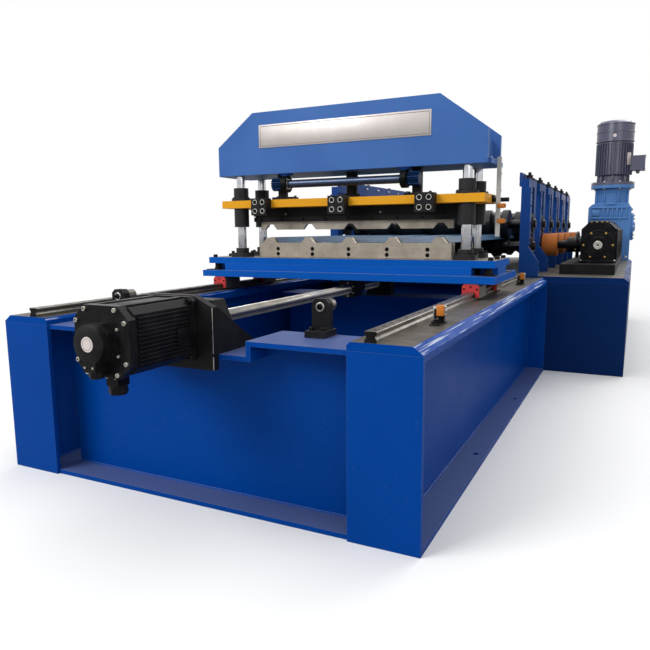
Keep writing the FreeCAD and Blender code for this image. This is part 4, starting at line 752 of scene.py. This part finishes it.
def nameplate():
    """The plate on the beam, left bare: satin silver with a grey border line."""
    mesh = bmesh.new()
    block_in(mesh, (-406, 406), (1002.8, 1005), (1180, 1282), 0.5)
    piece("bare_nameplate", mesh, "plate_silver", "carriage")
    mesh = bmesh.new()
    front, half, foot, head = (1002.3, 1003), 398, 1187.5, 1274.5
    for z in (foot, head):
        block_in(mesh, (-half, half), front, (z - 1.2, z + 1.2), 0.2)
    for x in (-half, half):
        block_in(mesh, (x - 1.2, x + 1.2), front, (foot, head), 0.2)
    piece("nameplate_border", mesh, "plate_grey", "carriage")


def beam_fittings():
    """Beam welds, the nuts that hold the posts, the cylinder's tie bolts and its oil ports."""
    blue, black, bright = bmesh.new(), bmesh.new(), bmesh.new()
    for y in (1026, 1251):
        disc_in(blue, (-633, y, 1084), "x", 4, 1266, 0.5, 8)
    for side, y in product(SIDES, (1055, 1222)):
        hex_bolt_in(black, (side * POST_X, y, 1175), "z", 15)
    for side, y in product(SIDES, (1040, 1139, 1238)):
        hex_bolt_in(bright, (side * 639, y, 1083), "z", 4.5)
    for x, y in circle(8, 62, 0.5):
        hex_bolt_in(bright, (x, CYLINDER_Y + y, 1323), "z", 9)
    disc_in(blue, (0, CYLINDER_Y, 1323), "z", 42, 8, 1.5, 40)
    for z in (1115, 1290):
        block_in(black, (74, 100), (1122, 1155), (z - 16, z + 16), 2)
        disc_in(bright, (100, CYLINDER_Y, z), "x", 9, 7, 1, 6)
    piece("beam_welds", blue, "beam_blue", "carriage")
    piece("beam_nuts", black, "socket_black", "carriage")
    piece("cylinder_bolts", bright, "zinc", "carriage")


def hanger_screws():
    bright = bmesh.new()
    for side in SIDES:
        for y, z in circle(4, 29, 0.5):
            cap_screw_in(bright, (side * 273, 1039 + y, 1017 + z), way("x", -side), 4, 12)
        ring_in(bright, (side * 273, 1039, 1017), way("x", -side), 18.3, 24, 3, 0.6)
    piece("hanger_screws", bright, "zinc", "carriage")


def switch_bar_fittings():
    """Lock nuts on the level switches, and the clamps that hold the bar to the beam."""
    bright, orange = bmesh.new(), bmesh.new()
    for z in (839, 900):
        block_in(orange, (652, 678), (1127, 1149), (z - 9.5, z + 9.5), 1.5)
        for y in (1136, 1144):
            lock_nut_in(bright, (678, y, z), 1.8, 3.6)
    for z in (962, 1030, 1068):
        ring_in(bright, (661, 1140, z), "x", 2, 5, 3, 0.6, 12)
    piece("level_switch_bodies", orange, "orange_plastic", "carriage")
    piece("level_switch_nuts", bright, "zinc", "carriage")


# Shear slide

def slide_screws():
    mesh = bmesh.new()
    for side, post, (x, y) in product(SIDES, POSTS, circle(6, 40.5)):
        cap_screw_in(mesh, (side * POST_X + x, post + y, 960), "z", 4.6, 12)
    for side, across in product(SIDES, (-47, 47)):
        cap_screw_in(mesh, (side * 327 + across, 1112, 962), "z", 6)
    for x, y in circle(6, 33):
        cap_screw_in(mesh, (x, CYLINDER_Y + y, 963), "z", 5, 12)
    piece("slide_screws", mesh, "socket_black", "shear_slide")


def clamp_screws():
    black, bright = bmesh.new(), bmesh.new()
    for i, across, up in product(range(-1, 2), (-20, 20), (-20, 20)):
        x, z = 392 * i + across, 915.5 + up
        turned_in(black, (x, 973, z), "-y", [(0, 4), (4, 4), (4.2, 8.4), (6.6, 8.4), (7.4, 7.6),
                                             (7.4, 0), (0, 0)], 18)
        ring_in(bright, (x, 964.2, z), "-y", 9.1, 12, 1.2, 0.6, 24)
    piece("clamp_screws", black, "socket_black", "shear_slide")
    piece("clamp_screw_rims", bright, "zinc", "shear_slide")


def blade_holder_screws():
    black, bright = bmesh.new(), bmesh.new()
    for i in range(-4, 5):
        cap_screw_in(black, (115 * i, 1094, 860), "-y", 5)
    for x in (-330, 150, 318):
        cap_screw_in(bright, (x, 1108, 884), "-y", 4, 12)
    for side, y in product(SIDES, (1106, 1142)):
        cap_screw_in(black, (side * 500, y, 880), way("x", side), 6)
    piece("blade_holder_screws", black, "socket_black", "shear_slide")
    piece("blade_holder_set_screws", bright, "zinc", "shear_slide")


def switch_arm():
    """The arm on the slide's end that trips the level switches."""
    mesh = bmesh.new()
    block_in(mesh, (625, 632), (1150, 1200), (915, 945), 1)
    block_in(mesh, (630, 692), (1156, 1168), (917, 934), 1)
    cap_screw_in(mesh, (632, 1184, 930), "x", 6)
    piece("switch_arm", mesh, "black_steel", "shear_slide")


# Mill

PASSES = [2346 + 430 * i for i in range(6)]


def stand_windows():
    mesh = bmesh.new()
    for at, side in product(PASSES, SIDES):
        block_in(mesh, sorted((side * 574, side * 579)), (at - 64.5, at + 64.5), (893, 1045.5),
                 0.5)
    piece("stand_window_plates", mesh, "window_plate")


def stand_fittings():
    """Lock nuts and keyed ends of the adjusting screws, and the screws of guides, ties and
    feet."""
    black, bright, blue = bmesh.new(), bmesh.new(), bmesh.new()
    for at, side in product(PASSES, SIDES):
        x = side * 594
        turned_in(black, (x, at, 1085), "z", [(18.2, 0), (18.2, 13), (25, 13), (28, 10.5),
                                              (28, 0), (18.2, 0)], 6)
        block_in(black, (x - 8, x + 8), (at - 8, at + 8), (1115, 1131), 1)
        disc_in(black, (x, at, 1014), "-z", 15.5, 12, 2, 20)
        for z in (745, 840, 935, 1010):
            cap_screw_in(black, (side * 625, at - 115, z), way("x", side), 4.5, 12)
        for tie, near, far in ((-105, -114, -60), (105, 78, 132)):
            hex_bolt_in(bright, (side * 561, at + tie, 1092), way("x", -side), 8)
            block_in(blue, sorted((side * 615, side * 655)), (at + near, at + far), (540, 554),
                     1.5)
            hex_bolt_in(bright, (side * 637, at + (near + far) / 2, 554), "z", 9)
    piece("adjusting_screw_nuts", black, "socket_black")
    piece("stand_screws", bright, "zinc")
    piece("stand_feet", blue, "stand_blue")


def chock_covers():
    """Bearing covers on the outer faces of the chocks, with their screws."""
    black, bright = bmesh.new(), bmesh.new()
    for at, side, level in product(PASSES, SIDES, (705, 835)):
        ring_in(black, (side * 621, at, level), way("x", side), 25.8, 45, 7, 1.2, 24)
        for y, z in circle(4, 37, 0.5):
            cap_screw_in(bright, (side * 628, at + y, level + z), way("x", side), 3.6, 10)
    piece("chock_covers", black, "black_steel")
    piece("chock_cover_screws", bright, "zinc")


# Drive

LINE_X, LINE_LEVEL = 963, 705
GEARBOX_PASSES = PASSES[1:5]
MOTOR_Y = PASSES[5]


def gearbox_castings():
    """Ribs, rims and flanges cast on the gearboxes round their covers."""
    mesh = bmesh.new()
    for at in GEARBOX_PASSES:
        for side in SIDES:
            facing = way("y", side)
            ring_in(mesh, (LINE_X, at + side * 115, LINE_LEVEL), facing, 73, 92, 7, 2, 48)
            ring_in(mesh, (LINE_X, at + side * 129, LINE_LEVEL), facing, 36, 52, 4, 1.5, 40)
            block_in(mesh, (858, 1068), sorted((at + side * 104, at + side * 120)), (598, 612), 2)
        for y in range(at - 88, at + 89, 44):
            block_in(mesh, (1058, 1070), (y - 5, y + 5), (612, 796), 2)
            block_in(mesh, (905, 1020), (y - 5, y + 5), (838, 850), 2)
        for z in ((792, 803), (606, 617)):
            block_in(mesh, (1058, 1068), (at - 108, at + 108), z, 2)
        ring_in(mesh, (833, at, LINE_LEVEL), "x", 45.5, 84, 12, 2, 48)
    piece("gearbox_castings", mesh, "black_castings")


def gearbox_bolts():
    brass, bright = bmesh.new(), bmesh.new()
    for at in GEARBOX_PASSES:
        for side, (x, z) in product(SIDES, circle(6, 82)):
            hex_bolt_in(brass, (LINE_X + x, at + side * 122, LINE_LEVEL + z), way("y", side), 5.5)
        for i, along in product(range(4), (-108, 108)):
            disc_in(brass, (920 + 29 * i, at + along, 841), "z", 6.5, 6, 1.5, 6)
        for i, z in product(range(4), (628, 782)):
            hex_bolt_in(brass, (1060.5, at - 66 + 44 * i, z), "x", 5.5)
        for y, z in circle(8, 75, 0.5):
            hex_bolt_in(brass, (833, at + y, LINE_LEVEL + z), "-x", 5.5)
        for x, along in product((868, 1058), (-112, 112)):
            hex_bolt_in(bright, (x, at + along, 612), "z", 7)
    piece("gearbox_brass_bolts", brass, "brass")
    piece("gearbox_foot_bolts", bright, "zinc")


def line_shaft_end():
    """The bright turned end of the line shaft in the first gearbox's cover."""
    mesh = bmesh.new()
    turned_in(mesh, (LINE_X, 2640, LINE_LEVEL), "-y",
              [(0, 5), (6, 5), (8, 7), (24, 7), (26, 5.5), (27, 3), (27, 0), (0, 0)], 40)
    piece("line_shaft_end", mesh, "zinc", "drive_shaft")


def reducer_castings():
    """Ribs and pads cast on the reducer: a ribbed band under the turret, and turret ribs."""
    mesh = bmesh.new()
    for side in SIDES:
        span = sorted((MOTOR_Y + side * 129, MOTOR_Y + side * 143))
        for z in ((974, 988), (886, 900)):
            block_in(mesh, (812, 1100), span, z, 3)
        for x in range(906, 1087, 36):
            block_in(mesh, (x - 6, x + 6), span, (896, 978), 2.5)
        block_in(mesh, (818, 880), span, (912, 962), 3)
    block_in(mesh, (1120, 1132), (MOTOR_Y - 120, MOTOR_Y + 120), (958, 972), 3)
    for i in range(8):
        turn = Matrix.Rotation(math.tau * (i + 0.5) / 8, 4, "Z")
        block_in(mesh, (120, 141), (-6, 6), (1008, 1120), 2,
                 Matrix.Translation((LINE_X, MOTOR_Y, 0)) @ turn)
    ring_in(mesh, (LINE_X, MOTOR_Y, 1006), "z", 127, 142, 12, 3, 48)
    turned_in(mesh, (1144, MOTOR_Y, 820), "x", [(0, 14), (28, 13), (40, 8), (44, 0), (0, 0)], 40)
    piece("reducer_castings", mesh, "reducer_blue")


def reducer_bolts():
    mesh = bmesh.new()
    for y, z in circle(8, 96):
        hex_bolt_in(mesh, (1144, MOTOR_Y + y, 820 + z), "x", 9)
    for x, y in circle(8, 153, 0.5):
        for level, facing in ((1193, "z"), (1143, "-z")):
            hex_bolt_in(mesh, (LINE_X + x, MOTOR_Y + y, level), facing, 9)
    for x, along in product((815, 1098), (-149, 149)):
        hex_bolt_in(mesh, (x, MOTOR_Y + along, 566), "z", 12)
    piece("reducer_bolts", mesh, "zinc")


def motor_trim():
    """Bands and grille of the fan cover, foot ribs, and the terminal box's lid and glands."""
    mesh = bmesh.new()
    for z, height in ((1527, 8), (1604, 6), (1668, 9)):
        ring_in(mesh, (LINE_X, MOTOR_Y, z), "z", 144, 148.5, height, 1.2, 64)
    for radius in (36, 56, 76, 96):
        ring_in(mesh, (LINE_X, MOTOR_Y, 1695), "z", radius, radius + 5, 5, 1.2, 48)
    for i in range(8):
        move = Matrix.Translation((LINE_X, MOTOR_Y, 0)) @ Matrix.Rotation(math.tau * i / 8, 4, "Z")
        block_in(mesh, (104, 128), (-5, 5), (1190, 1250), 2, move)
        block_in(mesh, (30, 104), (-2.5, 2.5), (1694, 1699), 0.8, move)
    block_in(mesh, (1194, 1202), (MOTOR_Y - 69, MOTOR_Y + 69), (1284, 1411), 2.5)
    for y in (MOTOR_Y - 28, MOTOR_Y + 28):
        ring_in(mesh, (1150, y, 1288), "-z", 8, 15, 18, 2, 6)
        disc_in(mesh, (1150, y, 1280), "-z", 9, 16, 3, 16)
    piece("motor_trim", mesh, "motor_grey")


def motor_plates():
    """Bare plates on the motor: a round one on the fan cover, a square one on its side."""
    bright, pale = bmesh.new(), bmesh.new()
    disc_in(pale, (LINE_X, MOTOR_Y - 144.6, 1570), "-y", 14, 2, 0.5)
    block_in(bright, (-22, 22), (-148, -145), (1330, 1430), 0.5,
             Matrix.Translation((LINE_X, MOTOR_Y, 0)) @ Matrix.Rotation(math.radians(52), 4, "Z"))
    for along, z in product((-58, 58), (1294, 1401)):
        cap_screw_in(bright, (1202, MOTOR_Y + along, z), "x", 4.5, 12)
    for x, y in circle(6, 132, 0.5):
        cap_screw_in(bright, (LINE_X + x, MOTOR_Y + y, 1690), "z", 4, 12)
    piece("motor_bare_plate", bright, "plate_silver")
    piece("motor_round_plate", pale, "label")


# Stage

def light(name, place, aim, size, power):
    data = bpy.data.lights.new(name, "AREA")
    data.shape = "RECTANGLE"
    data.size, data.size_y = size
    data.energy = power
    lamp = link_object(name, data)
    lamp.location = place
    lamp.rotation_mode = "QUATERNION"
    lamp.rotation_quaternion = (Vector(aim) - Vector(place)).to_track_quat("-Z", "Y")


def make_world():
    """White to the camera and to reflections, and a softer light on everything else."""
    world = bpy.data.worlds.new("studio")
    bpy.context.scene.world = world
    world.use_nodes = True
    world.node_tree.nodes.clear()
    add = partial(add_node, world.node_tree)
    ray = add("LightPath").outputs
    seen = add("Math", {0: ray["Is Camera Ray"], 1: ray["Is Glossy Ray"]}, operation="MAXIMUM")
    seen = add("Math", {0: seen, 1: ray["Is Transmission Ray"]}, operation="MAXIMUM")
    strength = add("MapRange", {"Value": seen, "To Min": 0.42, "To Max": 1})
    sky = add("Background", {"Color": (1, 1, 1, 1), "Strength": strength})
    add("OutputWorld", {"Surface": sky})


def pale_floor(add, place):
    """A pale floor that keeps the shadow near the machine and goes to white further off."""
    # An oval round the machine, which is 5.1 m long and 1.9 m wide
    oval = add("Mapping", {"Vector": place, "Location": (0, -0.42, 0),
                           "Scale": (1 / 2.2, 1 / 5, 1)})
    away = add("VectorMath", {0: oval}, operation="LENGTH")
    fade = add("MapRange", {"Value": away, "From Min": 0.75, "From Max": 1.25})
    seen = add("LightPath").outputs["Is Camera Ray"]
    white = add("Math", {0: fade, 1: seen}, operation="MULTIPLY")
    # White to the camera, a mid grey to the paint's reflections
    tone = add("Mix", {FACTOR: seen, FIRST: "#a8a8a8", SECOND: "#f0f0f0"}, data_type="RGBA")
    near = add("BsdfPrincipled", {"Base Color": tone, "Roughness": 0.9})
    far = add("Emission", {"Color": (1, 1, 1, 1), "Strength": 1})
    return add("MixShader", {0: white, 1: near, 2: far})


def make_floor():
    mesh = bmesh.new()
    bmesh.ops.create_grid(mesh, x_segments=1, y_segments=1, size=80)
    data = bpy.data.meshes.new("floor")
    mesh.to_mesh(data)
    mesh.free()
    data.materials.append(finish("pale_floor", pale_floor))
    floor = link_object("floor", data)
    floor.location.z = -0.5 * MM


bpy.context.scene.view_settings.view_transform = "Standard"
make_camera()
make_world()
make_floor()
light("key", (-3.5, -4.5, 5.0), (0, 1.0, 0.5), (4, 4), 400)
light("fill", (4.5, -3.0, 3.0), (0, 1.0, 0.6), (4, 3), 60)
light("top", (0, 2.0, 5.5), (0, 2.0, 0), (5, 6), 170)
light("rim", (2.5, 6.5, 4.0), (0, 3.0, 0.8), (4, 3), 120)

dress_cad_nodes()
weld_seams()
rail_screws()
stop_screws()
ball_screw_thread()
screw_covers("screw_bearing_covers", "screw_bearing_screws", "frame", (14, 1531),
             (15.6, 36, 5, 0.6), circle(6, 28), 3.5)
bracket_screws()
knocked_edge()
deck_switch_heads()
rail_ends()
servo_fins()
servo_screws()
servo_trim()
servo_label()
linear_block_caps()
screw_covers("ball_nut_flange", "ball_nut_screws", "carriage", (1100, 1170),
             (20.6, 37, 9, 1), circle(6, 30, 0.5), 4)
levelling_jacks()
bolster_screws()
blade_screws()
nameplate()
beam_fittings()
hanger_screws()
switch_bar_fittings()
slide_screws()
clamp_screws()
blade_holder_screws()
switch_arm()
stand_windows()
stand_fittings()
chock_covers()
gearbox_castings()
gearbox_bolts()
line_shaft_end()
reducer_castings()
reducer_bolts()
motor_trim()
motor_plates()
